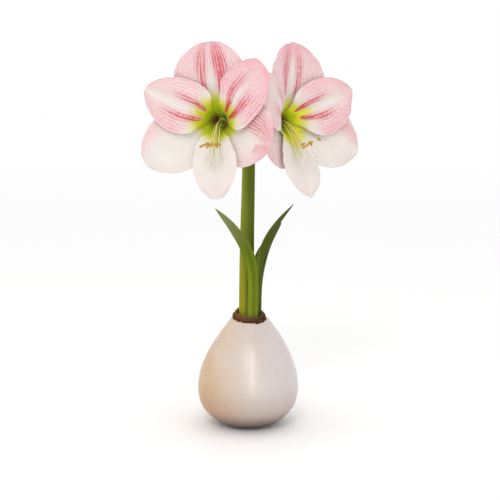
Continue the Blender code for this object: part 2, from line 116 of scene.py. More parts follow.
class Paint:
    """A material: its steady values go on the shader's own sockets, the rest through nodes."""

    def __init__(self, name, **steady):
        self.material = bpy.data.materials.new(name)
        self.material.use_nodes = True
        self.tree = self.material.node_tree
        self.shader = self.tree.nodes["Principled BSDF"]
        for socket, value in steady.items():
            self.shader.inputs[socket.replace("_", " ")].default_value = value

    def node(self, kind, settings, values, output=0):
        """Adds one node with its settings and the values or links of its sockets."""
        made = self.tree.nodes.new(kind)
        for key, value in settings.items():
            setattr(made, key, value)
        for key, value in values.items():
            if isinstance(value, Value):
                self.tree.links.new(value.socket, made.inputs[key])
            else:
                made.inputs[key].default_value = value
        return Value(self, made.outputs[output])

    def place(self, scale=(1.0, 1.0, 1.0)):
        """The place on the object in metres, times scale."""
        spot = self.node("ShaderNodeTexCoord", {}, {}, "Object")
        return self.node("ShaderNodeMapping", {}, {"Vector": spot, "Scale": scale})

    def axis(self, number):
        """The place along one axis in metres: 0 is to the right and 2 is up."""
        return self.node("ShaderNodeSeparateXYZ", {}, {"Vector": self.place()}, number)

    def grid(self, over, along):
        """A place made of two values, for patterns that follow a blade."""
        return self.node("ShaderNodeCombineXYZ", {}, {0: over, 1: along})

    def field(self, name):
        """A value that the piece's mesh keeps at its points."""
        return self.node("ShaderNodeAttribute", {"attribute_name": name}, {}, "Fac")

    def cloud(self, where, detail, rough, warp=0.0):
        """Noise on a grid, or on the object: where is then how fine it is, as 1 or 3 numbers."""
        if not isinstance(where, Value):
            where = self.place(np.full(3, 1.0) * where)
        values = {"Vector": where, "Scale": 1.0, "Detail": detail, "Roughness": rough,
                  "Distortion": warp}
        return self.node("ShaderNodeTexNoise", {}, values, "Fac")

    def layers(self, colour, *coats):
        """A colour under coats, each given as its share and its own colour."""
        for share, tint in coats:
            under, over = (c if isinstance(c, Value) else (*c, 1.0) for c in (colour, tint))
            values = {0: share, 6: under, 7: over}
            colour = self.node("ShaderNodeMix", {"data_type": "RGBA"}, values, 2)
        return colour

    def finish(self, colour, roughness, height=None, depth=0.0):
        """Sends colour, roughness and relief to the shader."""
        links = {"Base Color": colour, "Roughness": roughness}
        if height is not None:
            links["Normal"] = self.node("ShaderNodeBump", {}, {"Distance": depth, "Height": height})
        for socket, value in links.items():
            self.tree.links.new(value.socket, self.shader.inputs[socket])
        return self.material


def ease(value, start, end):
    """0 before start, 1 after end and a soft step between them."""
    part = np.clip((value - start) / (end - start), 0.0, 1.0)
    return part * part * (3.0 - 2.0 * part)


def hump(value, width):
    """1 where the value is 0, falling off softly on both sides of it."""
    return np.exp(-(value / width) ** 2)


def wobble(angle, counts, seed):
    """An uneven wave of sines, roughly between -1 and 1."""
    phases = np.random.default_rng(seed).uniform(0, 2 * math.pi, len(counts))
    waves = sum(np.sin(count * angle + phase) for count, phase in zip(counts, phases))
    return waves / len(counts) ** 0.5


def curve_through(points, steps):
    """A smooth curve through the points, as steps + 1 evenly timed places."""
    knots = np.array(points, dtype=float)
    padded = np.vstack([2 * knots[0] - knots[1], knots, 2 * knots[-1] - knots[-2]])
    places = []
    for time in np.linspace(0.0, len(knots) - 1.0, steps + 1):
        span = min(int(time), len(knots) - 2)
        u = time - span
        a, b, c, d = padded[span:span + 4]
        places.append(0.5 * (2 * b + (c - a) * u + (2 * a - 5 * b + 4 * c - d) * u**2
                             + (3 * b - a - 3 * c + d) * u**3))
    return np.array(places)


def new_piece(name, points, faces, material, fields=None, edges=()):
    """A smooth mesh in metres from places in millimetres, with values kept at its points."""
    mesh = bpy.data.meshes.new(name)
    faces = [tuple(map(int, face)) for face in faces]
    mesh.from_pydata((np.asarray(points) * MM).tolist(), edges, faces)
    mesh.shade_smooth()
    for field, values in (fields or {}).items():
        kept = mesh.attributes.new(field, "FLOAT", "POINT")
        kept.data.foreach_set("value", np.asarray(values, np.float32).ravel())
    mesh.materials.append(material)
    piece = bpy.data.objects.new(name, mesh)
    bpy.context.scene.collection.objects.link(piece)
    return piece


def stands_for(piece, slot, *nodes):
    """The finished piece rides on the part and is shown in place of these nodes."""
    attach(piece, "root")
    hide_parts(*nodes)


def round_body(rings, looped=False):
    """Places and faces of a body of rings, which has a point at both ends or joins them."""
    count, sides = rings.shape[:2]
    index = np.arange(count * sides).reshape(count, sides)
    if looped:
        index = np.vstack([index, index[:1]])
    after = np.roll(index, -1, axis=1)
    faces = list(np.stack([index[:-1], after[:-1], after[1:], index[1:]], axis=-1).reshape(-1, 4))
    if looped:
        return rings.reshape(-1, 3), faces
    first, last = count * sides, count * sides + 1
    faces += [(first, n, k) for k, n in zip(index[0], after[0])]
    faces += [(last, k, n) for k, n in zip(index[-1], after[-1])]
    ends = np.stack([rings[0].mean(axis=0), rings[-1].mean(axis=0)])
    return np.vstack([rings.reshape(-1, 3), ends]), faces


def joined(bodies):
    """The places and faces of several bodies as those of one."""
    points, faces, start = [], [], 0
    for places, sides in bodies:
        points.append(places)
        faces += [tuple(int(k) + start for k in side) for side in sides]
        start += len(places)
    return np.vstack(points), faces


def outline_sides(line):
    """The outward and the onward direction along an outline that runs upwards."""
    along = np.gradient(line, axis=0)
    along /= np.linalg.norm(along, axis=1)[:, None]
    return np.stack([along[:, 1], -along[:, 0]], axis=1), along


def turn(line, angles):
    """Rings of places from an outline of (radius, height)."""
    radius, height = line[:, :1], line[:, 1:]
    level = height * np.ones(len(angles))
    return np.stack([radius * np.cos(angles), radius * np.sin(angles), level], axis=-1)


def edge_lift(angle):
    """How much higher the wax edge runs at a direction round the neck."""
    wave = WAX_EDGE_WAVE * np.sin(3 * angle + 1.0)
    return wave - WAX_EDGE_TILT * np.cos(angle - WAX_EDGE_LOWEST)


def lean_to_neck(rings, angles, at_floor=False):
    """Moves the upper part of the rings towards the neck's own centre and tilts the neck.

    Rings at the floor of the neck's pocket move all the way and stay level.
    """
    share = np.where(at_floor, 1.0, ease(rings[..., 2], NECK_LEAN_START * WAX_TOP, WAX_TOP))
    tilt = np.where(at_floor, 0.0, ease(rings[..., 2], NECK_TILT_START * WAX_TOP, WAX_TOP))
    rings[..., 0] += share * NECK_CENTRE[0]
    rings[..., 1] += share * NECK_CENTRE[1]
    rings[..., 2] += tilt * edge_lift(angles)


wax_angles = np.arange(WAX_SIDES) * 2 * math.pi / WAX_SIDES
wall = curve_through(WAX_OUTLINE, 120)
outward, upward = outline_sides(wall)
lip_turn = np.linspace(0.0, math.pi, 9)[1:-1, None]
lip_middle = wall[-1] - 0.5 * WAX_THICKNESS * outward[-1]
lip_way = np.cos(lip_turn) * outward[-1] + np.sin(lip_turn) * upward[-1]
lip = lip_middle + 0.5 * WAX_THICKNESS * lip_way
inside = (wall - WAX_THICKNESS * outward)[::-4]
inside = inside[inside[:, 1] > WAX_THICKNESS + WAX_INNER_ROUNDING]
inner_foot = [(radius, WAX_THICKNESS) for radius in WAX_INNER_FOOT]
outer = np.vstack([WAX_FOOT, wall])
outer_normal = np.vstack([np.tile((0.0, -1.0), (len(WAX_FOOT), 1)), outward])
wax_line = np.vstack([outer, lip, inside, inner_foot])

height = outer[:, None, 1]
lumps = wobble(wax_angles, (2, 3, 5, 8), 11) * np.sin(math.pi * np.clip(height / LUMP_SPAN, 0, 1))
waves = np.sin(height / LUMP_STEP + 1.5 * wobble(wax_angles, (1, 2, 4), 12)) * ease(height, 3, 20)
creases = np.abs(wobble(wax_angles, (9, 14, 19, 27), 13))
creases = 1 - np.clip(CREASE_NARROWNESS * creases, 0, 1)
creases = creases * np.exp((height - WAX_TOP) / CREASE_REACH)
pool = height - POOL_HEIGHT - POOL_WAVE * wobble(wax_angles, (3, 7, 11), 14)
pool = hump(pool, POOL_WIDTH)
relief = LUMP_HEIGHT * (lumps + waves) - CREASE_DEPTH * creases + POOL_RELIEF * pool
relief = relief * ease(height, 0.0, 2.5)
wax_rings = turn(wax_line, wax_angles)
outwards = relief * outer_normal[:, None, 0]
wax_rings[:len(outer), :, 0] += outwards * np.cos(wax_angles)
wax_rings[:len(outer), :, 1] += outwards * np.sin(wax_angles)
wax_rings[:len(outer), :, 2] += relief * outer_normal[:, None, 1]
lean_to_neck(wax_rings, wax_angles)
near_lip = ease(wax_line[:, None, 1], LIP_WAVE_START, WAX_TOP)
wax_rings[..., 2] += LIP_WAVE * near_lip * wobble(wax_angles, (6, 11, 15, 23), 15)
points, faces = round_body(wax_rings[::-1])

paint = Paint("wax_skin", Subsurface_Weight=0.10, Subsurface_Radius=(0.006, 0.003, 0.002),
              Coat_Weight=0.16, Coat_Roughness=0.22, Specular_IOR_Level=0.35)
mottle = paint.cloud(26.0, 4.0, 0.6)
streak = paint.cloud((90.0, 90.0, 9.0), 3.0, 0.5)
fine = paint.cloud(420.0, 2.0, 0.5)
sideways = paint.axis(0) + 0.03 * mottle
upright = paint.axis(2)
# Painted shade: this mask darkens the lower part of the coat.
low = 1 - upright.step(0.004, 0.054)
colour = paint.layers(
    (0.61, 0.52, 0.45),
    # Painted light: a cooler, greyer tone on the right side of the coat and a warm peach glow on
    # its left side.
    (sideways.step(0.0, 0.045), (0.60, 0.540, 0.525)),
    (1 - sideways.step(-0.034, 0.010), (0.540, 0.370, 0.225)),
    (streak.step(0.50, 0.75) * 0.20, (0.52, 0.40, 0.29)),
    (mottle.step(0.45, 0.75) * 0.22, (0.66, 0.59, 0.53)),
    # Painted shade: darker and browner towards the bottom.
    (low * 0.75, (0.37, 0.262, 0.205)),
    # Painted light: a warm orange glow on the lower left, within the painted shade.
    (low * (1 - sideways.step(-0.040, 0.020)) * 0.85, (0.42, 0.190, 0.055)),
    # Painted shadow: a nearly black band at the very foot, where the coat meets the floor.
    ((1 - upright.step(0.0, 0.022)) * 0.97, (0.055, 0.024, 0.012)))
rough = 0.30 + 0.14 * mottle.step(0.3, 0.7)
wax_skin = paint.finish(colour, rough, 0.7 * mottle + 0.3 * fine, 0.0006)
stands_for(new_piece("wax_skin", points, faces, wax_skin), "wax", "wax_coat")


# Bulb and its dry neck
# The bulb is one fleshy body that fills the wax. Its old outer scales dry to brown papery
# skins, which stick out at the neck as a ragged collar of a few layers round the leaves.

SKIN_CLEARANCE = 0.65
BULB_FLOOR = 2.3
BULB_ROUNDING = 2.0
NECK_FLOOR = 96.0
POCKET_RADIUS = 12.3
BULB_SIDES = 96
# The neck's outer side and rim, then the pocket that the scape and the leaves stand in
NECK_OUTLINE = ((13.2, 107.6), (13.0, 110.0), (12.7, 110.6), (12.4, 110.2))
POCKET_OUTLINE = ((POCKET_RADIUS, 102.0), (POCKET_RADIUS, NECK_FLOOR + 1.2),
                  (POCKET_RADIUS - 0.8, NECK_FLOOR), (1.0, NECK_FLOOR))
NECK_RIM_RISE = 1.0
NECK_RIM_HIGHEST = 0.6
SKIN_SIDES = 240
SKIN_ROWS = 12
SKIN_THICKNESS = 0.4
SKIN_FOOT = 105.6
SKIN_FRILL = 0.22
SKIN_WANDER = 0.25
# How far the skins lean inwards on their right side, and where they do so most
SKIN_LEAN = 1.7
SKIN_LEAN_SIDE = 0.3
# Each papery skin: radius at its foot and at its edge, height of its edge, how ragged the edge
# is and how far it rolls outwards
DRY_SKINS = (
    (15.7, 16.7, 108.4, 0.4, 0.7),
    (15.2, 16.1, 110.0, 0.5, 0.8),
    (14.6, 15.3, 111.5, 0.6, 0.7),
    (14.0, 14.5, 112.6, 0.7, 0.4),
    (13.3, 13.5, 112.4, 0.9, 0.0),
)

bulb_angles = np.arange(BULB_SIDES) * 2 * math.pi / BULB_SIDES
under = (wall - (WAX_THICKNESS + SKIN_CLEARANCE) * outward)[::3]
under = under[under[:, 1] > BULB_FLOOR + BULB_ROUNDING]
bulb_foot = [(1.0, BULB_FLOOR), (19.0, BULB_FLOOR)]
bulb_line = np.vstack([bulb_foot, under, NECK_OUTLINE, POCKET_OUTLINE])
bulb_rings = turn(bulb_line, bulb_angles)
pocket = np.arange(len(bulb_line)) >= len(bulb_line) - len(POCKET_OUTLINE)
lean_to_neck(bulb_rings, bulb_angles, pocket[:, None])
points, faces = round_body(bulb_rings[::-1])

paint = Paint("dry_skin", Specular_IOR_Level=0.45)
grain = paint.cloud((150.0, 150.0, 640.0), 4.0, 0.6, 0.5)
patch = paint.cloud((150.0, 150.0, 420.0), 3.0, 0.6)
edge, sideways = paint.field("edge"), paint.axis(0)
colour = paint.layers(
    (0.016, 0.004, 0.001),
    (grain.step(0.44, 0.57), (0.300, 0.120, 0.022)),
    (patch.step(0.50, 0.64) * 0.70, (0.40, 0.190, 0.060)),
    ((1 - patch.step(0.32, 0.44)) * 0.85, (0.040, 0.010, 0.002)),
    # Painted highlight: lighter copper along the rolled edges of the skins.
    (edge.step(0.78, 1.0) * 0.42, (0.44, 0.225, 0.090)),
    # Painted light: the left side of the neck is lighter.
    ((1 - sideways.step(-0.016, -0.006)) * 0.65, (0.36, 0.165, 0.045)),
    # Painted shade: the right side of the neck is darker.
    (sideways.step(-0.008, 0.002) * 0.50, (0.050, 0.018, 0.003)),
    # Painted shadow: a dark line at the foot of the skins, where they meet the wax.
    ((1 - edge.step(0.30, 0.60)) * 0.85, (0.018, 0.005, 0.001)))
dry_skin = paint.finish(colour, 0.22 + 0.3 * patch, grain, 0.0007)
stands_for(new_piece("bulb_flesh", points, faces, dry_skin), "dry_skin", "bulb")

skin_angles = np.arange(SKIN_SIDES) * 2 * math.pi / SKIN_SIDES
share = np.linspace(0.0, 1.0, SKIN_ROWS)[:, None]
rise = NECK_RIM_RISE * (0.5 + 0.5 * np.sin(skin_angles + NECK_RIM_HIGHEST))
inwards = SKIN_LEAN * np.clip(np.cos(skin_angles - SKIN_LEAN_SIDE), 0, 1) ** 2
half = 0.5 * SKIN_THICKNESS * (1.0 - 0.5 * share)
skins = []
for row, (foot_radius, edge_radius, edge_height, ragged, roll) in enumerate(DRY_SKINS):
    notch = ragged * (0.6 * wobble(skin_angles, (3, 5, 8, 13), 20 + row)
                      - 0.5 * np.abs(wobble(skin_angles, (21, 34, 47), 30 + row)))
    height = SKIN_FOOT + (edge_height - SKIN_FOOT + rise + notch) * share + edge_lift(skin_angles)
    height = height - 0.5 * roll * ease(share, 0.80, 1.0)
    radius = foot_radius + (edge_radius - foot_radius) * share ** 1.6 - inwards * share
    radius = radius + roll * ease(share, 0.72, 1.0)
    radius = radius + SKIN_FRILL * share * wobble(skin_angles, (9, 14, 22, 31), 40 + row)
    radius = radius + SKIN_WANDER * wobble(skin_angles, (1, 2, 3), 50 + row)
    folds = []
    for reach in (radius + half, radius - half):
        x = NECK_CENTRE[0] + reach * np.cos(skin_angles)
        y = NECK_CENTRE[1] + reach * np.sin(skin_angles)
        folds.append(np.stack([x, y, height], axis=-1))
    skins.append(round_body(np.concatenate([folds[0], folds[1][::-1]]), looped=True))
edge = np.repeat(np.concatenate([share, share[::-1]]), SKIN_SIDES)
fields = {"edge": np.tile(edge, len(skins))}
stands_for(new_piece("neck_skins", *joined(skins), dry_skin, fields), "dry_skin", "bulb")


# Scape
# The bare flower stem is a smooth, slightly ribbed green tube that grows out of the neck's
# pocket and carries both blooms at its head.

SCAPE_FOOT = (-1.6, 0.6, 96.3)
SCAPE_HEAD = (0.8, 2.0, 283.0)
SCAPE_BOW = -1.2
SCAPE_RADII = (8.0, 6.0)
SCAPE_RIBS = 11
SCAPE_RIB_HEIGHT = 0.008
SCAPE_OVAL = 0.012
SCAPE_HEAD_ROUNDING = 0.25
SCAPE_ROWS = 150
SCAPE_SIDES = 72


def sweep(path, radii, sides, reference, section):
    """Rings of places round a path; section gives their shape by angle and by share along it."""
    path = np.asarray(path, dtype=float)
    ahead = np.gradient(path, axis=0)
    ahead /= np.linalg.norm(ahead, axis=1)[:, None]
    side = np.cross(np.array(reference, dtype=float), ahead)
    side /= np.linalg.norm(side, axis=1)[:, None]
    over = np.cross(ahead, side)
    angles = np.arange(sides) * 2 * math.pi / sides
    share = np.linspace(0.0, 1.0, len(path))[:, None]
    radii = np.asarray(radii, dtype=float)[:, None] * section(angles[None, :], share)
    return (path[:, None, :] + (radii * np.cos(angles))[..., None] * side[:, None, :]
            + (radii * np.sin(angles))[..., None] * over[:, None, :])


share = np.linspace(0.0, 1.0, SCAPE_ROWS)
foot, head = np.array(SCAPE_FOOT), np.array(SCAPE_HEAD)
scape_path = foot + (head - foot) * share[:, None]
scape_path[:, 0] += SCAPE_BOW * np.sin(math.pi * share) ** 2 * (1 - share)
scape_radii = SCAPE_RADII[0] + (SCAPE_RADII[1] - SCAPE_RADII[0]) * share ** 0.8
scape_radii = scape_radii * (1 - SCAPE_HEAD_ROUNDING * np.exp(-(1 - share) * SCAPE_ROWS / 1.5))


def scape_section(angle, along):
    """Faint ribs on a slightly oval section that turns along the scape."""
    oval = SCAPE_OVAL * np.cos(2 * angle + 1.5 * along)
    return 1 + SCAPE_RIB_HEIGHT * np.cos(SCAPE_RIBS * angle) + oval


rings = sweep(scape_path, scape_radii, SCAPE_SIDES, (0.0, 1.0, 0.0), scape_section)
points, faces = round_body(rings)

paint = Paint("scape_green", Specular_IOR_Level=0.10)
upright = paint.axis(2)
streak = paint.cloud((700.0, 700.0, 12.0), 4.0, 0.6)
patch = paint.cloud((60.0, 60.0, 22.0), 3.0, 0.5)
sideways = paint.axis(0)
colour = paint.layers(
    (0.275, 0.265, 0.006),
    (upright.step(0.12, 0.22), (0.215, 0.255, 0.026)),
    # Painted shade: the right side of the scape is darker.
    (sideways.step(-0.006, 0.002) * 0.85, (0.080, 0.112, 0.002)),
    (streak.step(0.42, 0.70) * 0.40, (0.062, 0.088, 0.002)),
    (patch.step(0.50, 0.80) * 0.25, (0.25, 0.28, 0.03)))
scape_green = paint.finish(colour, 0.45 + 0.2 * patch, streak, 0.0003)
stands_for(new_piece("flower_stem", points, faces, scape_green), "scape_green", "scape")


# Leaves
# Four strap leaves come out of the neck beside the scape. Each is a channelled green blade
# with fine veins along it, a thicker middle and a drawn-out tip that bends away.

LEAF_THICKNESS = 1.6
LEAF_ROWS = 130
LEAF_COLUMNS = 30
LEAF_TIP = 1.0
LEAF_CROWN = 0.35
LEAF_CROWN_WIDTH = 0.16
LEAF_RIBS = 5
LEAF_RIB_HEIGHT = 0.07
# For each leaf: its path from the pocket to its tip, the way its face looks, its width, how deep
# it is channelled, how much wider its upper half is and how drawn out its tip is
LEAVES = {
    "leaf_front_left": {
        "path": ((4.9, -9.9, 96.3), (4.9, -10.4, 118.0), (5.3, -12.6, 142.0), (3.9, -15.2, 161.0),
                 (-3.0, -18.0, 181.0), (-15.5, -22.0, 200.6), (-31.0, -28.0, 218.6)),
        "face": (-0.31, 0.95, 0.0), "width": 10.8, "channel": 1.5, "swell": 0.16, "blunt": 0.8,
    },
    "leaf_front_right": {
        "path": ((8.2, -5.3, 96.3), (8.8, -5.0, 118.0), (10.2, -4.8, 141.0), (12.8, -5.6, 163.0),
                 (19.8, -10.0, 186.0), (30.0, -13.5, 204.0), (43.0, -19.0, 221.5)),
        "face": (-0.77, 0.64, 0.0), "width": 9.8, "channel": 1.4, "swell": 0.36, "blunt": 0.8,
    },
    "leaf_back_right": {
        "path": ((11.4, 4.3, 96.3), (11.8, 4.5, 118.0), (12.6, 5.0, 140.0), (15.8, 6.0, 160.0),
                 (22.0, 7.5, 180.0), (32.6, 11.0, 200.4)),
        "face": (-0.93, -0.37, 0.0), "width": 9.2, "channel": 1.1, "swell": 0.20, "blunt": 0.36,
    },
    "leaf_back": {
        "path": ((2.7, 10.4, 96.3), (3.0, 10.7, 112.0), (5.2, 12.0, 136.0), (9.0, 13.0, 160.0),
                 (13.6, 14.5, 177.5)),
        "face": (-0.10, -0.99, 0.0), "width": 8.0, "channel": 0.7, "swell": 0.20, "blunt": 0.5,
    },
}


def blade(points, thickness):
    """Places and faces of a thin closed blade round a grid of places: its front, then its back."""
    rows, columns = points.shape[:2]
    normal = np.cross(np.gradient(points, axis=1), np.gradient(points, axis=0))
    normal /= np.linalg.norm(normal, axis=-1)[..., None]
    half = 0.5 * thickness[..., None] * normal
    index = np.arange(rows * columns).reshape(rows, columns)
    corners = (index[:-1, :-1], index[:-1, 1:], index[1:, 1:], index[1:, :-1])
    a, b, c, d = (corner.ravel() for corner in corners)
    behind = rows * columns
    rim = np.concatenate([index[0], index[1:, -1], index[-1, -2::-1], index[-2:0:-1, 0]])
    after = np.roll(rim, -1)
    faces = list(np.stack([a, b, c, d], axis=1)) + list(np.stack([a, d, c, b], axis=1) + behind)
    faces += list(np.stack([after, rim, rim + behind, after + behind], axis=1))
    return np.vstack([(points + half).reshape(-1, 3), (points - half).reshape(-1, 3)]), faces


def both_faces(**fields):
    """Values at a blade's points, the same on its front and on its back."""
    return {name: np.tile(values.ravel(), 2) for name, values in fields.items()}


def strap(row, rows, columns, tip_width, fullness, swell=0.0):
    """A strap's middle surface, how far along and across it each place lies, and its face."""
    path = curve_through(row["path"], rows - 1)
    along = np.linspace(0.0, 1.0, rows)
    ahead = np.gradient(path, axis=0)
    ahead /= np.linalg.norm(ahead, axis=1)[:, None]
    current = np.array(row["face"])
    face = []
    for heading in ahead:
        current = current - np.dot(current, heading) * heading
        current /= np.linalg.norm(current)
        face.append(current)
    face = np.array(face)
    sideways = np.cross(ahead, face)
    half = 0.5 * row["width"] * (1.0 - along ** 4.5) ** fullness
    half = np.maximum(half * (1.0 + swell * ease(along, 0.35, 0.65)), 0.5 * tip_width)
    across = np.linspace(-1.0, 1.0, columns)
    depth = row["channel"] * (half / (0.5 * row["width"])) ** 1.5
    points = (path[:, None, :] + half[:, None, None] * across[None, :, None] * sideways[:, None, :]
              + depth[:, None, None] * (across ** 2)[None, :, None] * face[:, None, :])
    return points, along[:, None] * np.ones(columns), np.ones((rows, 1)) * across, face


paint = Paint("leaf_green", Specular_IOR_Level=0.08)
over, along = paint.field("across"), paint.field("along")
vein = paint.cloud(paint.grid(over * 7.0, along * 3.0), 3.0, 0.6)
patch = paint.cloud((70.0, 70.0, 25.0), 3.0, 0.55)
shaded = paint.axis(0).step(0.006, 0.013)
beside = over.count("ABSOLUTE", over)
# Painted light: lighter flanks beside the midline on the lower part of each leaf, weaker where the
# leaf is shaded.
lit_flank = beside.step(0.20, 0.55) * (1 - beside.step(0.70, 0.90)) * (1 - along.step(0.3, 0.9))
colour = paint.layers(
    (0.130, 0.175, 0.001),
    (along.step(0.10, 0.60), (0.100, 0.140, 0.002)),
    # Painted highlight: a pale, greyish tip.
    (along.step(0.60, 0.95) * 0.9, (0.265, 0.275, 0.105)),
    (shaded * 0.90, (0.046, 0.066, 0.003)),
    (vein.step(0.45, 0.66) * 0.50, (0.040, 0.070, 0.001)),
    ((1 - vein.step(0.30, 0.42)) * 0.45, (0.26, 0.32, 0.05)),
    (patch.step(0.52, 0.80) * 0.25, (0.20, 0.25, 0.03)),
    # Painted light on the flanks.
    (lit_flank * (0.55 - 0.45 * shaded), (0.250, 0.310, 0.010)),
    (beside.step(0.84, 1.0) * 0.5, (0.27, 0.31, 0.08)))
leaf_green = paint.finish(colour, 0.45 + 0.2 * patch, vein, 0.0003)

for name, row in LEAVES.items():
    points, along, across, face = strap(row, LEAF_ROWS, LEAF_COLUMNS, LEAF_TIP, row["blunt"],
                                        row["swell"])
    crown = LEAF_CROWN * hump(across, LEAF_CROWN_WIDTH) * (1 - along)
    ribs = LEAF_RIB_HEIGHT * np.cos(2 * math.pi * LEAF_RIBS * across) * ease(1 - along, 0.0, 0.2)
    points = points - (crown + ribs)[..., None] * face[:, None, :]
    thickness = LEAF_THICKNESS * (0.40 + 0.60 * (1 - across ** 4))
    thickness = thickness * (1 - 0.5 * ease(along, 0.6, 1.0))
    leaf = new_piece(name.replace("leaf", "strap_leaf"), *blade(points, thickness), leaf_green,
                     both_faces(along=along, across=across))
    stands_for(leaf, "leaf_green", name)


# Spathe valves
# Two papery bracts closed round the buds. They have dried to thin brown flaps that hang
# back from the head of the scape.

BRACT_THICKNESS = 0.6
BRACT_ROWS = 80
BRACT_COLUMNS = 28
BRACT_TIP = 1.2
BRACT_FULLNESS = 0.9
FOLD_HEIGHT = 0.35
FRILL_HEIGHT = 0.25
BRACTS = {
    "spathe_left": {
        "path": ((-6.6, 5.4, 276.0), (-7.4, 6.0, 283.0), (-10.0, 9.0, 290.0), (-14.5, 13.0, 295.0),
                 (-20.0, 17.0, 297.0), (-26.0, 20.0, 294.0)),
        "face": (0.78, -0.62, 0.0), "width": 8.0, "channel": 1.2,
    },
    "spathe_right": {
        "path": ((2.65, 8.55, 275.0), (3.1, 10.2, 283.0), (4.6, 16.0, 290.0), (6.4, 22.0, 290.0),
                 (8.0, 26.5, 284.0), (9.0, 28.5, 274.0)),
        "face": (-0.2, -0.98, 0.0), "width": 8.0, "channel": 1.0,
    },
}

paint = Paint("papery_bract", Sheen_Weight=0.15)
over, along = paint.field("across"), paint.field("along")
fibre = paint.cloud(paint.grid(over * 16.0, along * 4.0), 4.0, 0.65)
colour = paint.layers(
    (0.26, 0.28, 0.07),
    (along.step(0.0, 0.35), (0.48, 0.32, 0.18)),
    (fibre.step(0.40, 0.68) * 0.7, (0.25, 0.12, 0.06)),
    (along.step(0.75, 1.0) * 0.6, (0.22, 0.11, 0.06)))
papery_bract = paint.finish(colour, 0.55 + 0.3 * fibre, fibre, 0.0005)

for name, row in BRACTS.items():
    points, along, across, face = strap(row, BRACT_ROWS, BRACT_COLUMNS, BRACT_TIP, BRACT_FULLNESS)
    folds = FOLD_HEIGHT * np.sin(2 * math.pi * 3 * across + 4 * along) * np.sin(5 * along + 1)
    frill = FRILL_HEIGHT * np.sin(26 * along + 3 * across) * across ** 2
    crumple = folds * ease(along, 0.15, 0.5) + frill * ease(along, 0.2, 0.6)
    points = points - crumple[..., None] * face[:, None, :]
    thickness = BRACT_THICKNESS * (0.5 + 0.5 * (1 - across ** 4))
    bract = new_piece(name.replace("spathe", "dry_valve"), *blade(points, thickness), papery_bract,
                      both_faces(along=along, across=across))
    stands_for(bract, "bract_brown", name)


# Flower bases
# Behind each bloom a pedicel bends out from the head of the scape. It swells into the
# three-sided ovary, and the short green tube of the flower grows out of that.

TUBE_RADIUS = 4.0
TUBE_DEPTH = 24.0
TUBE_CURL = 9.0
# For each bloom: the middle of its throat, its turn in degrees, how pointed its tepals are, half
# the angle of a tepal's foot, and how far the tepals flare forwards at the sides, at the top,
# at the bottom, and more on the left or right
BLOOMS = {
    "left": {
        "throat": (-23.4, -45.0, 301.1), "yaw": -15.0, "point": 0.0, "claw": 31.0,
        "flare": {"side": 0.27, "top": 0.14, "bottom": 0.20, "left": 0.0, "right": 0.08},
    },
    "right": {
        "throat": (24.7, -8.0, 300.8), "yaw": 41.0, "point": 1.2, "claw": 42.0,
        "flare": {"side": 0.33, "top": 0.12, "bottom": 0.36, "left": 0.20, "right": 0.0},
    },
}
# The ovary and tube: how far in front of the throat, and radius
TUBE_OUTLINE = ((-24.0, 3.8), (-20.0, 5.4), (-16.0, 5.6), (-12.0, 4.7), (-8.0, 5.0), (-3.0, 5.8),
                (-0.5, 5.6))
OVARY_PLACE = 0.62
OVARY_SPAN = 0.10
OVARY_LOBES = 0.07
TUBE_RIBS = 0.04
TUBE_NARROWING = 0.02
PEDICEL_FOOT = {"left": (-2.0, 0.4, 283.3), "right": (3.7, 3.8, 283.3)}
PEDICEL_RADIUS = 3.0
PEDICEL_SWEEP = 9.0
BASE_STEPS = 60
BASE_SIDES = 48


class Bloom:
    """One bloom's own directions: a forward, r to the right and u up."""

    def __init__(self, row):
        yaw = math.radians(row["yaw"])
        self.throat = np.array(row["throat"])
        self.a = np.array((math.sin(yaw), -math.cos(yaw), 0.0))
        self.r = np.array((math.cos(yaw), math.sin(yaw), 0.0))
        self.u = np.array((0.0, 0.0, 1.0))
        self.flare = row["flare"]
        self.point = row["point"]
        self.claw = row["claw"]

    def place(self, right, up, forward):
        """The places that lie this far from the middle of the throat."""
        right, up, forward = (np.asarray(v, dtype=float)[..., None] for v in (right, up, forward))
        return self.throat + right * self.r + up * self.u + forward * self.a

    def rise(self, radius, angle):
        """How far in front of the throat the open bloom lies at a radius and a direction."""
        sine, cosine = np.sin(angle), np.cos(angle)
        flare = self.flare
        end = np.where(sine > 0, flare["top"], flare["bottom"])
        slope = flare["side"] + (end - flare["side"]) * sine ** 2
        slope = slope + flare["left"] * np.clip(-cosine, 0, 1) ** 2
        slope = slope + flare["right"] * np.clip(cosine, 0, 1) ** 2
        run = np.maximum(radius - TUBE_RADIUS, 0.0)
        return TUBE_DEPTH * (1 - np.exp(-run / TUBE_CURL)) + slope * run


blooms = {side: Bloom(row) for side, row in BLOOMS.items()}

paint = Paint("flower_base_green", Specular_IOR_Level=0.08)
along = paint.field("along")
patch = paint.cloud(300.0, 3.0, 0.6)
colour = paint.layers(
    (0.150, 0.180, 0.004),
    (along.step(0.3, 0.9), (0.230, 0.270, 0.008)),
    (patch.step(0.45, 0.75) * 0.4, (0.27, 0.33, 0.04)),
    (along.step(0.86, 1.0) * 0.9, (0.42, 0.46, 0.05)))
base_green = paint.finish(colour, 0.38 + 0.2 * patch, patch, 0.0003)


def base_section(angle, along):
    """Three soft lobes round the ovary and six faint ribs round the tube."""
    lobes = OVARY_LOBES * hump(along - OVARY_PLACE, OVARY_SPAN) * np.cos(3 * angle)
    tube = ease(along, 0.75, 0.85)
    return 1 + lobes + TUBE_RIBS * tube * np.cos(6 * angle) - TUBE_NARROWING * tube


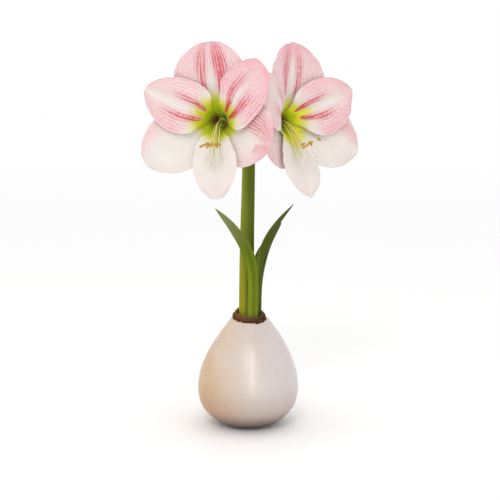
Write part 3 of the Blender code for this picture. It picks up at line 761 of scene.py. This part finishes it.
for side, bloom in blooms.items():
    start = np.array(PEDICEL_FOOT[side])
    lift = start + np.array((0.0, 0.0, PEDICEL_SWEEP + 1.0))
    end = bloom.place(0.0, 0.0, TUBE_OUTLINE[0][0])
    pull = end - bloom.a * PEDICEL_SWEEP
    time = np.linspace(0.0, 1.0, BASE_STEPS)[:, None]
    bend = (start * (1 - time) ** 3 + 3 * lift * time * (1 - time) ** 2
            + 3 * pull * time ** 2 * (1 - time) + end * time ** 3)
    tube = curve_through(TUBE_OUTLINE, BASE_STEPS)[1:]
    path = np.vstack([bend, bloom.place(0.0, 0.0, tube[:, 0])])
    neck = PEDICEL_RADIUS * (1 + 0.1 * time[:, 0])
    blend = ease(time[:, 0], 0.75, 1.0)
    radii = np.concatenate([neck * (1 - blend) + TUBE_OUTLINE[0][1] * blend, tube[:, 1]])
    points, faces = round_body(sweep(path, radii, BASE_SIDES, (0.3, 1.0, 0.1), base_section))
    along = np.repeat(np.linspace(0.0, 1.0, len(path)), BASE_SIDES)
    fields = {"along": np.concatenate([along, (0.0, 1.0)])}
    base = new_piece(side + "_ovary_and_pedicel", points, faces, base_green, fields)
    stands_for(base, "tube_green", side + "_flower_base")


# Tepals
# Six soft blades in two layers make each bloom. They are cream with a white midrib, flushed
# and streaked with crimson beside it, rose at the margins and yellow-green in the throat.

TEPAL_THICKNESS = 0.7
WHORL_SHIFT = 2.8
TEPAL_ROWS = 120
TEPAL_COLUMNS = 66
TIP_CUT = 0.977
TIP_BOW = 1.1
TIP_CURL = 2.0
TEPAL_SPACING = 1.25
ROW_CROWDING = 0.07
# How far out from the middle of the throat each change of a tepal starts and ends
OPENING_REACH = (3.0, 9.0)
CLAW_REACH = (5.0, 16.0)
CLAW_OPEN_ANGLE = 60.0
TURN_REACH = (8.0, 34.0)
SHIFT_REACH = (3.0, 13.0)
POINT_WIDTH = 0.35
MIDRIB_DEPTH = 1.2
MIDRIB_WIDTH = 0.2
CREASE_IN_MIDRIB = 0.3
CREASE_WIDTH = 0.05
BULGE_HEIGHT = 1.0
MARGIN_DROP = 1.0
# Two waves run along the margins. Each has its height, how many there are on a tepal, how much
# further on it starts at each tepal, and how far its two sides are out of step.
RIPPLE = (0.7, 2.0, 0.37, 1.3)
RUFFLE = (0.45, 6.3, 0.6, 2.1)
RIBS = 9
RIB_HEIGHT = 0.07
VEIN_STEP = 3.2
TEPAL_ORDER = ("upper_right", "top", "upper_left", "lower_left", "bottom", "lower_right")
INNER_WHORL = ("upper_right", "upper_left", "bottom")
# For each tepal: its turn in degrees, its length, its widths on both sides, how full it is
# towards foot and tip, and how far its tip sways sideways
TEPALS = {
    "left": {
        "top": (5, 71, (34, 33), (1.29, 0.50), -1.5),
        "upper_left": (5, 67, (24.5, 25), (0.98, 0.53), -1),
        "lower_left": (0, 73, (26, 29), (1.20, 0.53), -1),
        "bottom": (4, 68.5, (20.5, 21), (1.24, 0.55), 0),
        "lower_right": (6, 58.5, (34, 29), (1.28, 0.56), 3),
        "upper_right": (15, 70, (20.5, 26.5), (1.25, 0.50), 3),
    },
    "right": {
        "top": (1, 72, (33.5, 36.5), (1.26, 0.54), 0),
        "upper_left": (-6, 71, (29.5, 13), (1.30, 0.59), -1),
        "lower_left": (-2, 56, (30.5, 25), (1.28, 0.58), -1),
        "bottom": (-4, 69, (20, 27), (1.22, 0.58), 8),
        "lower_right": (5, 76, (30.5, 27), (1.22, 0.52), 2),
        "upper_right": (-3, 67.5, (26, 29), (1.02, 0.52), -1),
    },
}
# How each tepal is marked. First its flames: place across at their start and end, start and end
# along, width at both ends and strength. Then its blush: the wash over all of it, its margins at
# across -1 and +1, and its tip. Then how strong its dotted veins are at across -1 and +1, the half
# width of its pale midrib and where that ends, and how far out the throat's green runs beside and
# along the midrib, in millimetres.
MARKS = {
    "left": {
        "top": (
            ((-0.24, -0.36, 0.36, 1.12, 0.08, 0.36, 1.40),
             (0.20, 0.34, 0.42, 1.08, 0.06, 0.28, 1.0)),
            (0.30, 0.15, 0.25, 0.10), (0.75, 0.75), (0.12, 0.78), (21, 30)),
        "upper_left": (
            ((0.24, 0.36, 0.20, 0.82, 0.14, 0.24, 1.35),
             (-0.22, -0.34, 0.20, 0.74, 0.13, 0.20, 1.35)),
            (0.34, 0.16, 0.26, 0.06), (0.55, 1.0), (0.23, 1.15), (25, 26)),
        "upper_right": (
            ((0.26, 0.26, 0.17, 0.90, 0.13, 0.28, 1.35),
             (-0.20, -0.46, 0.17, 0.72, 0.11, 0.24, 1.35)),
            (0.48, 0.24, 0.28, 0.26), (0.9, 0.75), (0.12, 0.80), (24, 27)),
        "lower_left": (
            (),
            (0.02, 0.42, 0.04, 0.05), (0.15, 0.0), (0.10, 0.9), (24, 22)),
        "bottom": (
            (),
            (0.02, 0.05, 0.05, 0.12), (0.0, 0.0), (0.08, 0.8), (20, 22)),
        "lower_right": (
            ((0.50, 0.34, 0.40, 1.06, 0.30, 0.38, 0.78),
             (-0.30, -0.20, 0.78, 1.04, 0.2, 0.3, 0.55)),
            (0.06, 0.30, 0.30, 0.50), (0.2, 1.0), (0.12, 0.85), (22, 24)),
    },
    "right": {
        "top": (
            ((0.20, 0.42, 0.38, 1.06, 0.06, 0.32, 1.0),
             (-0.16, -0.28, 0.36, 1.02, 0.06, 0.18, 0.90)),
            (0.34, 0.16, 0.12, 0.42), (0.6, 0.6), (0.12, 0.92), (17, 26)),
        "upper_left": (
            ((-0.34, -0.45, 0.20, 0.78, 0.10, 0.24, 1.0), (0.26, 0.45, 0.20, 0.70, 0.1, 0.22, 1.0)),
            (0.26, 0.2, 0.2, 0.2), (0.8, 0.8), (0.12, 0.8), (15, 18)),
        "upper_right": (
            ((0.22, 0.34, 0.19, 0.70, 0.10, 0.18, 1.35),
             (-0.20, -0.36, 0.21, 0.76, 0.10, 0.21, 1.35)),
            (0.31, 0.40, 0.34, 0.28), (0.9, 0.60), (0.16, 0.95), (21, 29)),
        "lower_left": (
            ((-0.10, 0.02, 0.40, 0.75, 0.10, 0.14, 0.6), (-0.50, -0.55, 0.60, 0.95, 0.2, 0.2, 0.3)),
            (0.36, 0.30, 0.10, 0.20), (0.4, 0.3), (0.10, 0.8), (17, 21)),
        "bottom": (
            (),
            (0.02, 0.05, 0.05, 0.14), (0.0, 0.0), (0.08, 0.85), (25, 30)),
        "lower_right": (
            ((0.62, 0.60, 0.60, 1.0, 0.2, 0.3, 0.35),),
            (0.02, 0.04, 0.50, 0.12), (0.0, 0.8), (0.10, 0.9), (21, 28)),
    },
}
# Painted light in each bloom's throat, from 0 to 1: the green is brighter and the depth less dark.
PAINTED_THROAT_LIGHT = {"left": 0.0, "right": 1.0}
LONG_FLAME_FADE = 0.45
SHORT_FLAME_FADE = 0.70


def margin_wave(wave, index, along, across):
    """A wave that runs along both margins of a tepal."""
    height, number, step, offset = wave
    return height * np.sin(2 * math.pi * (number * along + step * index) + offset * np.sign(across))


def tepal_grid(bloom, side, name, along, across):
    """Places on a tepal: along runs from foot to tip, across from -1 to 1 over its width.

    With them comes how far out each lies, how far to the side that is, and on which vein.
    """
    turn_by, length, widths, fullness, sway = TEPALS[side][name]
    index = TEPAL_ORDER.index(name)
    along, across = np.broadcast_arrays(along, across)
    reach = TUBE_RADIUS + (length - TUBE_RADIUS) * along ** TEPAL_SPACING
    angle = math.radians(30 + 60 * index) + math.radians(turn_by) * ease(reach, *TURN_REACH)
    power, bluntness = fullness
    widest = np.where(across > 0, widths[0], widths[1])
    profile = np.sin(math.pi * np.clip(TIP_CUT * along, 0, 1) ** power)
    half = widest * np.maximum(profile, 1e-6) ** bluntness
    spread = bloom.claw + (CLAW_OPEN_ANGLE - bloom.claw) * ease(reach, *CLAW_REACH)
    claw = reach * np.tan(np.radians(spread))
    opening = ease(reach, *OPENING_REACH)
    half = half * opening + length * (1 - opening)
    half = (half ** -6 + claw ** -6) ** (-1 / 6)
    sideways = across * half + sway * along ** 2
    reach = reach - TIP_BOW * across ** 2 * ease(along, 0.7, 1.0)
    reach = reach + bloom.point * hump(across, POINT_WIDTH) * ease(along, 0.92, 1.0)
    x = reach * np.cos(angle) - sideways * np.sin(angle)
    y = reach * np.sin(angle) + sideways * np.cos(angle)
    layer = WHORL_SHIFT if name in INNER_WHORL else -WHORL_SHIFT
    edge = np.abs(across)
    midrib = np.sin(math.pi * np.clip(along, 0, 1)) ** 0.7
    bulge = np.sin(math.pi * edge) ** 2 * ease(along, 0.15, 0.5) * (1 - ease(along, 0.85, 1.0))
    ribs = np.cos(2 * math.pi * RIBS * across)
    ribs = ribs * ease(along, 0.15, 0.35) * (1 - ease(along, 0.8, 1.0))
    forward = (bloom.rise(np.hypot(x, y), np.arctan2(y, x))
               + layer * ease(reach, *SHIFT_REACH)
               - MIDRIB_DEPTH * midrib * hump(across, MIDRIB_WIDTH)
               - CREASE_IN_MIDRIB * midrib * hump(across, CREASE_WIDTH)
               - MARGIN_DROP * edge ** 4 * ease(along, 0.15, 0.6)
               + BULGE_HEIGHT * bulge
               + margin_wave(RIPPLE, index, along, across) * edge ** 2 * ease(along, 0.2, 0.5)
               + margin_wave(RUFFLE, index, along, across) * edge ** 6 * ease(along, 0.25, 0.5)
               + RIB_HEIGHT * ribs
               - TIP_CURL * ease(along, 0.78, 1.0) ** 1.5)
    radius = np.hypot(x, y)
    sides = np.abs(x) / np.maximum(radius, 0.1)
    return bloom.place(x, y, forward), radius, sides, across * widest / VEIN_STEP


def tepal_fields(marks, along, across, radius, sides):
    """Where a tepal is flamed, flecked, blushed, green and dark, each from 0 to about 1."""
    flames, (wash, *margins, tip), flecks, (rib, rib_end), (beside, ahead) = marks
    stain = np.zeros_like(along)
    for start, end, low, high, thin, wide, strength in flames:
        share = np.clip((along - low) / (high - low), 0.0, 1.0)
        middle = start + (end - start) * share
        band = np.exp(-np.abs((across - middle) / (thin + (wide - thin) * share)) ** 2.6)
        fade = (LONG_FLAME_FADE if high > 1.0 else SHORT_FLAME_FADE) * (high - low)
        ends = ease(along, low - 0.02, low + 0.03) * (1 - ease(along, high - fade, high + 0.06))
        stain = np.maximum(stain, strength * band * ends)
    edge = np.abs(across)
    blush = wash + ease(edge, 0.15, 0.95) * np.where(across < 0, *margins)
    blush = np.clip(blush * ease(along, 0.22, 0.50) + tip * ease(along, 0.75, 1.0), 0, 1)
    spine = np.exp(-(edge / (rib * (1.5 - 0.7 * along))) ** 3)
    spine = spine * (1 - ease(along, rib_end - 0.25, rib_end))
    fleck = np.where(across < 0, *flecks) * ease(edge, 0.10, 0.30) * (1 - spine)
    fleck = fleck * ease(along, 0.24, 0.45) * (1 - 0.75 * ease(along, 0.60, 0.95))
    green_end = beside + (ahead - beside) * hump(across, 0.22)
    green = 1 - ease(radius, 0.30 * green_end, 1.3 * green_end)
    green = green * (1 - 0.45 * np.clip(stain, 0.0, 1.0))
    deep = (1 - ease(radius, 5.5, 11.0)) * ease(sides, 0.25, 0.60)
    return {"stain": stain * (1 - 0.8 * spine), "fleck": fleck, "blush": blush * (1 - 0.85 * spine),
            "green": green, "deep": deep}


paint = Paint("tepal_skin", Sheen_Weight=0.10, Sheen_Roughness=0.4, Specular_IOR_Level=0.22,
              Subsurface_Weight=0.10, Subsurface_Radius=(0.002, 0.0012, 0.001))
along, veins, fresh = paint.field("along"), paint.field("veins"), paint.field("fresh")
stain, blush, back = paint.field("stain"), paint.field("blush"), paint.field("back")
dash = paint.cloud(paint.grid(veins * 2.3, along * 30.0), 2.0, 0.5)
long = paint.cloud(paint.grid(veins * 0.8, along * 3.0), 2.0, 0.5)
net = paint.cloud(paint.grid(veins * 1.7, along * 24.0), 3.0, 0.6, 0.6)
soft = paint.cloud(60.0, 3.0, 0.5)
wave = (veins + 0.35 * long) * (2 * math.pi)
line = wave.count("COSINE", wave).step(-0.1, 0.9)
root = paint.field("green").step(0.0, 0.25)
streak = stain * (0.48 + 0.52 * line + 0.40 * root) * (0.75 + 0.5 * long.step(0.35, 0.65))
streak = streak * (0.80 + 0.45 * net.step(0.38, 0.62))
dots = paint.field("fleck") * line * dash.step(0.40, 0.66)
rose = blush * (0.62 + 0.55 * net.step(0.38, 0.62) + 0.20 * line)
green = paint.field("green") * (1 - 0.35 * back)
# Painted light in the right bloom's throat brightens the green and lifts the dark core and depth.
bright = paint.layers((0.52, 0.57, 0.003), (fresh, (0.74, 0.75, 0.010)))
flame = paint.layers((0.62, 0.10, 0.14), (green.step(0.0, 0.40), (0.52, 0.070, 0.018)))
core = green.step(0.78, 1.0) * (0.6 + 0.4 * line) * (0.95 - 0.2 * fresh)
deep = paint.field("deep") * (0.95 + 0.45 * fresh) - 0.45 * fresh
colour = paint.layers(
    (0.760, 0.722, 0.678),
    (soft.step(0.3, 0.7), (0.738, 0.692, 0.638)),
    (rose, (0.795, 0.38, 0.45)),
    (dots * 0.65, (0.62, 0.14, 0.20)),
    (green.step(0.05, 0.70), (0.67, 0.64, 0.12)),
    ((green - 0.06 * fresh).step(0.38, 0.80), bright),
    (streak * (1 - 0.9 * green.step(0.50, 0.90)), flame),
    (back * 0.50, (0.76, 0.68, 0.60)),
    (core, (0.28, 0.42, 0.004)),
    (deep * (1 - back), (0.190, 0.050, 0.001)))
tepal_skin = paint.finish(colour, 0.48 + 0.16 * soft, 0.5 * line + 0.5 * net, 0.00022)

for side, bloom in blooms.items():
    for name in TEPAL_ORDER:
        along = np.linspace(0.0, 1.0, TEPAL_ROWS)[:, None]
        along = along - ROW_CROWDING * np.sin(2 * math.pi * along)
        across = np.linspace(-1.0, 1.0, TEPAL_COLUMNS)[None, :]
        across = np.sin(0.5 * math.pi * across) * 0.35 + across * 0.65
        points, radius, sides, veins = tepal_grid(bloom, side, name, along, across)
        along, across = np.broadcast_arrays(along, across)
        thickness = TEPAL_THICKNESS * (0.45 + 0.55 * (1 - across ** 4))
        thickness = thickness * (1 - 0.35 * ease(along, 0.8, 1.0))
        marks = tepal_fields(MARKS[side][name], along, across, radius, sides)
        # Painted light for the throat, the same all over the blade.
        fresh = np.full(along.shape, PAINTED_THROAT_LIGHT[side])
        fields = both_faces(along=along, veins=veins, fresh=fresh, **marks)
        # The first face of the blade is the one that looks backwards.
        fields["back"] = np.repeat((1.0, 0.0), along.size)
        tepal = new_piece(side + "_blade_" + name, *blade(points, thickness), tepal_skin, fields)
        stands_for(tepal, "tepal_pink", side + "_tepal_" + name)


# Stamens
# Six thin filaments leave the throat of each bloom, lie over the lower tepals and hook up at
# their ends. Each carries one bent anther that is dusted with golden pollen.

# How far in front of the throat and how high above its middle a filament's points lie, on a
# bloom whose lower tepals flare this much
FILAMENT_PATH = ((-0.2, -2.4), (9.0, -3.2), (20.0, -8.0), (31.0, -19.0), (39.0, -31.5),
                 (45.0, -37.0), (50.5, -34.0), (52.5, -26.5), (51.5, -20.0))
FILAMENT_FLARE = 0.20
FILAMENT_RADIUS = 0.495
FILAMENT_SIDES = 14
FILAMENT_STEP = 40.0
FILAMENT_START = -100.0
FILAMENT_LIFT = 1.4
FILAMENT_SHORTER = 0.05
STAMEN_RING_RADIUS = 2.4
# How far to the right each filament ends, and how much higher it ends the further right that is
STAMEN_SPREAD = {
    "left": (-3.4, -0.9, 1.8, 5.4, 8.0, 10.6),
    "right": (-14.5, -11.0, -8.0, -5.0, -2.0, 6.5),
}
STAMEN_SLOPE = {"left": 0.0, "right": 0.24}
STAMEN_SLOPE_MIDDLE = -5.0
LEAN_START = 4.0
ANTHER_LENGTH = 5.4
ANTHER_RADIUS = 0.92
ANTHER_BEND = 3.2
ANTHER_GROOVE = 0.22
ANTHER_SIDES = 20
ANTHER_OFFSET = 0.3
# Grains to a square metre, and their radius in metres
POLLEN_DENSITY = 9.0e6
POLLEN_RADIUS = 0.00012
POLLEN_SEED = 7
THREAD_STEPS = 60


def node_tree(name, inputs):
    """An empty Geometry Nodes tree with named inputs, and the identifier of each of them."""
    tree = bpy.data.node_groups.new(name, "GeometryNodeTree")
    tree.interface.new_socket(name="Geometry", in_out="INPUT", socket_type="NodeSocketGeometry")
    known = {}
    for label, kind in inputs.items():
        kind = "NodeSocket" + kind
        made = tree.interface.new_socket(name=label, in_out="INPUT", socket_type=kind)
        known[label] = made.identifier
    tree.interface.new_socket(name="Geometry", in_out="OUTPUT", socket_type="NodeSocketGeometry")
    return tree, known


def add(tree, kind, settings=None, **links):
    """Adds a geometry node; links gives each named socket a value or another socket."""
    made = tree.nodes.new(kind)
    for key, value in (settings or {}).items():
        setattr(made, key, value)
    for key, value in links.items():
        socket = made.inputs[key.replace("_", " ")]
        if isinstance(value, bpy.types.NodeSocket):
            tree.links.new(value, socket)
        else:
            socket.default_value = value
    return made


def grow(piece, tree, known, values):
    """Runs the tree on a piece, with these inputs, and keeps the result as a plain mesh."""
    grown = piece.modifiers.new("grow", "NODES")
    grown.node_group = tree
    for label, value in values.items():
        grown[known[label]] = value
    depsgraph = bpy.context.evaluated_depsgraph_get()
    mesh = bpy.data.meshes.new_from_object(piece.evaluated_get(depsgraph))
    piece.modifiers.clear()
    piece.data = mesh
    return piece


threads, thread_inputs = node_tree("threads", {"Radius": "Float", "Sides": "Int",
                                               "Material": "Material"})
given = add(threads, "NodeGroupInput").outputs
line = add(threads, "GeometryNodeMeshToCurve", Mesh=given["Geometry"])
ring = add(threads, "GeometryNodeCurvePrimitiveCircle", Resolution=given["Sides"],
           Radius=given["Radius"])
girth = add(threads, "GeometryNodeInputNamedAttribute", {"data_type": "FLOAT"}, Name="girth")
tube = add(threads, "GeometryNodeCurveToMesh", Curve=line.outputs[0], Profile_Curve=ring.outputs[0],
           Scale=girth.outputs[0], Fill_Caps=True)
smooth = add(threads, "GeometryNodeSetShadeSmooth", Geometry=tube.outputs[0])
real = add(threads, "GeometryNodeRealizeInstances", Geometry=smooth.outputs[0])
done = add(threads, "GeometryNodeSetMaterial", Geometry=real.outputs[0], Material=given["Material"])
add(threads, "NodeGroupOutput", Geometry=done.outputs[0])

dusting, dust_inputs = node_tree("pollen", {"Density": "Float", "Grain radius": "Float",
                                            "Seed": "Int", "Material": "Material"})
given = add(dusting, "NodeGroupInput").outputs
spread = add(dusting, "GeometryNodeDistributePointsOnFaces", Mesh=given["Geometry"],
             Density=given["Density"], Seed=given["Seed"])
grain = add(dusting, "GeometryNodeMeshIcoSphere", Radius=given["Grain radius"], Subdivisions=1)
size = add(dusting, "FunctionNodeRandomValue", {"data_type": "FLOAT"})
# The least and the greatest size of a grain, against its radius
size.inputs[2].default_value = 0.6
size.inputs[3].default_value = 1.5
dusting.links.new(given["Seed"], size.inputs[8])
placed = add(dusting, "GeometryNodeInstanceOnPoints", Points=spread.outputs[0],
             Instance=grain.outputs[0], Scale=size.outputs[1])
real = add(dusting, "GeometryNodeRealizeInstances", Geometry=placed.outputs[0])
done = add(dusting, "GeometryNodeSetMaterial", Geometry=real.outputs[0], Material=given["Material"])
add(dusting, "NodeGroupOutput", Geometry=done.outputs[0])


def thread_lines(name, paths, girths, feet, material, radius, sides):
    """Round threads along paths, by the girth at each point; feet is how far along each starts."""
    edges, start = [], 0
    for path in paths:
        edges += [(start + k, start + k + 1) for k in range(len(path) - 1)]
        start += len(path)
    along = [np.linspace(foot, 1, len(path)) for foot, path in zip(feet, paths)]
    fields = {"girth": np.concatenate(girths), "along": np.concatenate(along)}
    piece = new_piece(name, np.vstack(paths), [], material, fields, edges)
    values = {"Radius": radius * MM, "Sides": sides, "Material": material}
    return grow(piece, threads, thread_inputs, values)


def lean(bloom, heights):
    """How much further forward low parts lie where a bloom's lower tepals flare more."""
    drop = np.maximum(-heights - LEAN_START, 0.0)
    return (bloom.flare["bottom"] - FILAMENT_FLARE) * np.maximum.accumulate(drop)


def filament_points(bloom, side, index):
    """One filament: it leaves the throat, lies along the lower tepals and hooks up at its end."""
    middle = curve_through(FILAMENT_PATH, THREAD_STEPS)
    share = np.linspace(0.0, 1.0, len(middle))
    settle = ease(share, 0.0, 0.45)
    angle = math.radians(FILAMENT_STEP * index + FILAMENT_START)
    ring = STAMEN_RING_RADIUS * (1 - settle)
    spread = STAMEN_SPREAD[side][index]
    right = ring * math.sin(angle) + spread * ease(share, 0.02, 0.75)
    slope = STAMEN_SLOPE[side] * (spread - STAMEN_SLOPE_MIDDLE) * share
    up = (middle[:, 1] + FILAMENT_LIFT * (index % 2) + slope) * settle - ring * math.cos(angle)
    length = 1.0 - FILAMENT_SHORTER * ((index * 2) % 3)
    forward = middle[:, 0] * length + lean(bloom, middle[:, 1])
    return bloom.place(right, up, forward)


paint = Paint("filament_cream", Subsurface_Weight=0.1, Subsurface_Radius=(0.001, 0.001, 0.0006))
along = paint.field("along")
soft = paint.cloud(500.0, 2.0, 0.5)
colour = paint.layers(
    (0.20, 0.25, 0.01),
    (along.step(0.16, 0.34), (0.66, 0.62, 0.13)),
    (along.step(0.37, 0.58), (0.77, 0.72, 0.62)),
    (soft.step(0.4, 0.7) * 0.15, (0.84, 0.80, 0.70)))
filament_cream = paint.finish(colour, 0.40 + 0.2 * soft)

paint = Paint("anther_brown")
grain = paint.cloud(1800.0, 3.0, 0.6)
colour = paint.layers((0.20, 0.085, 0.015), (grain.step(0.35, 0.65), (0.52, 0.27, 0.045)))
anther_brown = paint.finish(colour, 0.6 + 0.3 * grain, grain, 0.0002)

paint = Paint("pollen_gold")
grain = paint.cloud(900.0, 2.0, 0.5)
colour = paint.layers((0.68, 0.36, 0.018), (grain.step(0.4, 0.62), (0.82, 0.52, 0.05)))
pollen_gold = paint.finish(colour, 0.75 + 0.2 * grain)


def anther_section(angle, along):
    """Two pollen sacs with a groove between them."""
    groove = ANTHER_GROOVE * hump(np.sin(angle) - 1, 0.35)
    return 1 - groove + 0.06 * np.cos(2 * angle)


for side, bloom in blooms.items():
    paths = [filament_points(bloom, side, index) for index in range(6)]
    taper = np.concatenate([np.linspace(1.0, 0.72, THREAD_STEPS - 3), (0.6, 0.45, 0.3, 0.2)])
    filaments = thread_lines(side + "_filaments", paths, [taper] * 6, [0.0] * 6, filament_cream,
                             FILAMENT_RADIUS, FILAMENT_SIDES)
    time = np.linspace(-0.5, 0.5, 26)[:, None]
    swell = ANTHER_RADIUS * np.sqrt(np.clip(1 - (2 * time[:, 0]) ** 4, 0.03, 1.0))
    bodies = []
    for index, path in enumerate(paths):
        tilt = bloom.r * math.cos(0.5 * index) * 0.9 + bloom.u * 0.35
        tilt /= np.linalg.norm(tilt)
        arch = path[-1] - tilt * time * ANTHER_LENGTH - bloom.u * ANTHER_BEND * time ** 2
        arch = arch + bloom.a * ANTHER_OFFSET
        bodies.append(round_body(sweep(arch, swell, ANTHER_SIDES, bloom.a, anther_section)))
    anthers = new_piece(side + "_anthers", *joined(bodies), anther_brown)
    pollen = anthers.copy()
    pollen.name = side + "_pollen"
    bpy.context.scene.collection.objects.link(pollen)
    grow(pollen, dusting, dust_inputs, {"Density": POLLEN_DENSITY, "Grain radius": POLLEN_RADIUS,
                                        "Seed": POLLEN_SEED, "Material": pollen_gold})
    for piece in (filaments, anthers, pollen):
        stands_for(piece, "filament_white", side + "_stamens")


# Pistil
# One long style runs out of each throat above the filaments and ends in a small stigma of
# three short lobes.

STYLE_PATH = ((0.0, 0.5), (10.0, 0.6), (21.0, -2.8), (32.0, -13.0), (41.0, -25.5), (49.0, -33.0),
              (58.0, -36.0))
STYLE_RADIUS = 0.85
STYLE_GIRTH = 0.8
STYLE_END_GIRTH = 1.1
STYLE_SIDES = 16
STYLE_SHIFT = {"left": 2.8, "right": 0.0}
STIGMA_LENGTH = 1.9
STIGMA_SINK = 0.6
STIGMA_TURN = 0.4

paint = Paint("style_white", Subsurface_Weight=0.1, Subsurface_Radius=(0.001, 0.001, 0.0008))
along = paint.field("along")
soft = paint.cloud(500.0, 2.0, 0.5)
colour = paint.layers(
    (0.20, 0.25, 0.01),
    (along.step(0.16, 0.34), (0.66, 0.62, 0.13)),
    (along.step(0.50, 0.72), (0.77, 0.72, 0.63)),
    (along.step(0.90, 1.0) * 0.5, (0.90, 0.68, 0.64)),
    (soft.step(0.4, 0.7) * 0.2, (0.80, 0.76, 0.66)))
style_white = paint.finish(colour, 0.40 + 0.2 * soft)

for side, bloom in blooms.items():
    middle = curve_through(STYLE_PATH, THREAD_STEPS)
    right = np.linspace(0.0, STYLE_SHIFT[side], len(middle))
    style = bloom.place(right, middle[:, 1], middle[:, 0] + lean(bloom, middle[:, 1]))
    paths = [style]
    swell = np.linspace(STYLE_GIRTH, STYLE_END_GIRTH, 6)
    girths = [np.concatenate([np.full(THREAD_STEPS - 5, STYLE_GIRTH), swell])]
    time = np.linspace(0.0, 1.0, 10)[:, None]
    forward = STIGMA_LENGTH * (time - 0.25 * time ** 2) - STIGMA_SINK
    for lobe in range(3):
        angle = 2 * math.pi * lobe / 3 + STIGMA_TURN
        out = bloom.r * math.cos(angle) + bloom.u * math.sin(angle)
        paths.append(style[-1] + out * (0.3 + 1.3 * time ** 1.2) + bloom.a * forward)
        girths.append(STYLE_GIRTH * np.sqrt(np.clip(1 - (2 * time[:, 0] - 1) ** 4, 0.08, 1)))
    pistil = thread_lines(side + "_style", paths, girths, [0.0, 1.0, 1.0, 1.0], style_white,
                          STYLE_RADIUS, STYLE_SIDES)
    stands_for(pistil, "style_white", side + "_pistil")


# Floor, light and camera
# A plain pale floor under soft studio light, seen from slightly above the blooms.

FLOOR_HALF = 30000.0
FLOOR_LEVEL = -0.2
CAMERA_PLACE = (0.0018, -1.0, 0.320)
CAMERA_DIP = 8.26
CAMERA_LENS = 73.97

paint = Paint("pale_floor")
grain = paint.cloud(3.0, 2.0, 0.5)
away = paint.node("ShaderNodeVectorMath", {"operation": "LENGTH"}, {0: paint.place()}, 1)
colour = paint.layers(
    (0.955, 0.955, 0.955),
    (grain, (0.94, 0.94, 0.94)),
    (away.step(0.4, 5.0), (1.0, 1.0, 1.0)))
pale_floor = paint.finish(colour, 0.6 + 0.1 * grain)
corners = ((-1, -1), (1, -1), (1, 1), (-1, 1))
corners = [(FLOOR_HALF * x, FLOOR_HALF * y, FLOOR_LEVEL) for x, y in corners]
floor = new_piece("floor", corners, [(0, 1, 2, 3)], pale_floor)


def soft_light(name, place, towards, size, watts, colour, gloss_only=False):
    """A soft light that looks at a point, all in metres; gloss_only lights nothing but shine."""
    lamp = bpy.data.lights.new(name, "AREA")
    lamp.shape = "RECTANGLE"
    lamp.size, lamp.size_y = size
    lamp.energy = watts
    lamp.color = colour
    holder = bpy.data.objects.new(name, lamp)
    holder.visible_diffuse = not gloss_only
    holder.location = place
    way = np.array(towards) - np.array(place)
    level = math.hypot(way[0], way[1])
    holder.rotation_euler = (math.atan2(level, -way[2]), 0.0, math.atan2(-way[0], way[1]))
    bpy.context.scene.collection.objects.link(holder)


soft_light("key", place=(-0.25, -1.6, 1.5), towards=(0.0, 0.0, 0.18), size=(0.5, 0.5),
           watts=7.5, colour=(1.0, 0.99, 0.97))
soft_light("strip", place=(0.20, -1.15, 0.50), towards=(0.0, 0.0, 0.09), size=(0.20, 1.3),
           watts=14.0, colour=(1.0, 1.0, 1.0), gloss_only=True)
soft_light("warm_side", place=(-0.8, 0.1, 0.3), towards=(0.0, 0.0, 0.06), size=(0.5, 0.5),
           watts=0.6, colour=(1.0, 0.72, 0.45))

world = bpy.data.worlds.new("studio")
world.use_nodes = True
world.node_tree.nodes["Background"].inputs["Color"].default_value = (1.0, 1.0, 1.0, 1.0)
world.node_tree.nodes["Background"].inputs["Strength"].default_value = 1.0
bpy.context.scene.world = world
bpy.context.scene.view_settings.view_transform = "Standard"

lens = bpy.data.cameras.new("camera")
lens.lens = CAMERA_LENS
lens.sensor_width = 36.0
lens.clip_end = 100.0
camera = bpy.data.objects.new("camera", lens)
camera.location = CAMERA_PLACE
camera.rotation_euler = (math.radians(90.0 - CAMERA_DIP), 0.0, 0.0)
bpy.context.scene.collection.objects.link(camera)
bpy.context.scene.camera = camera
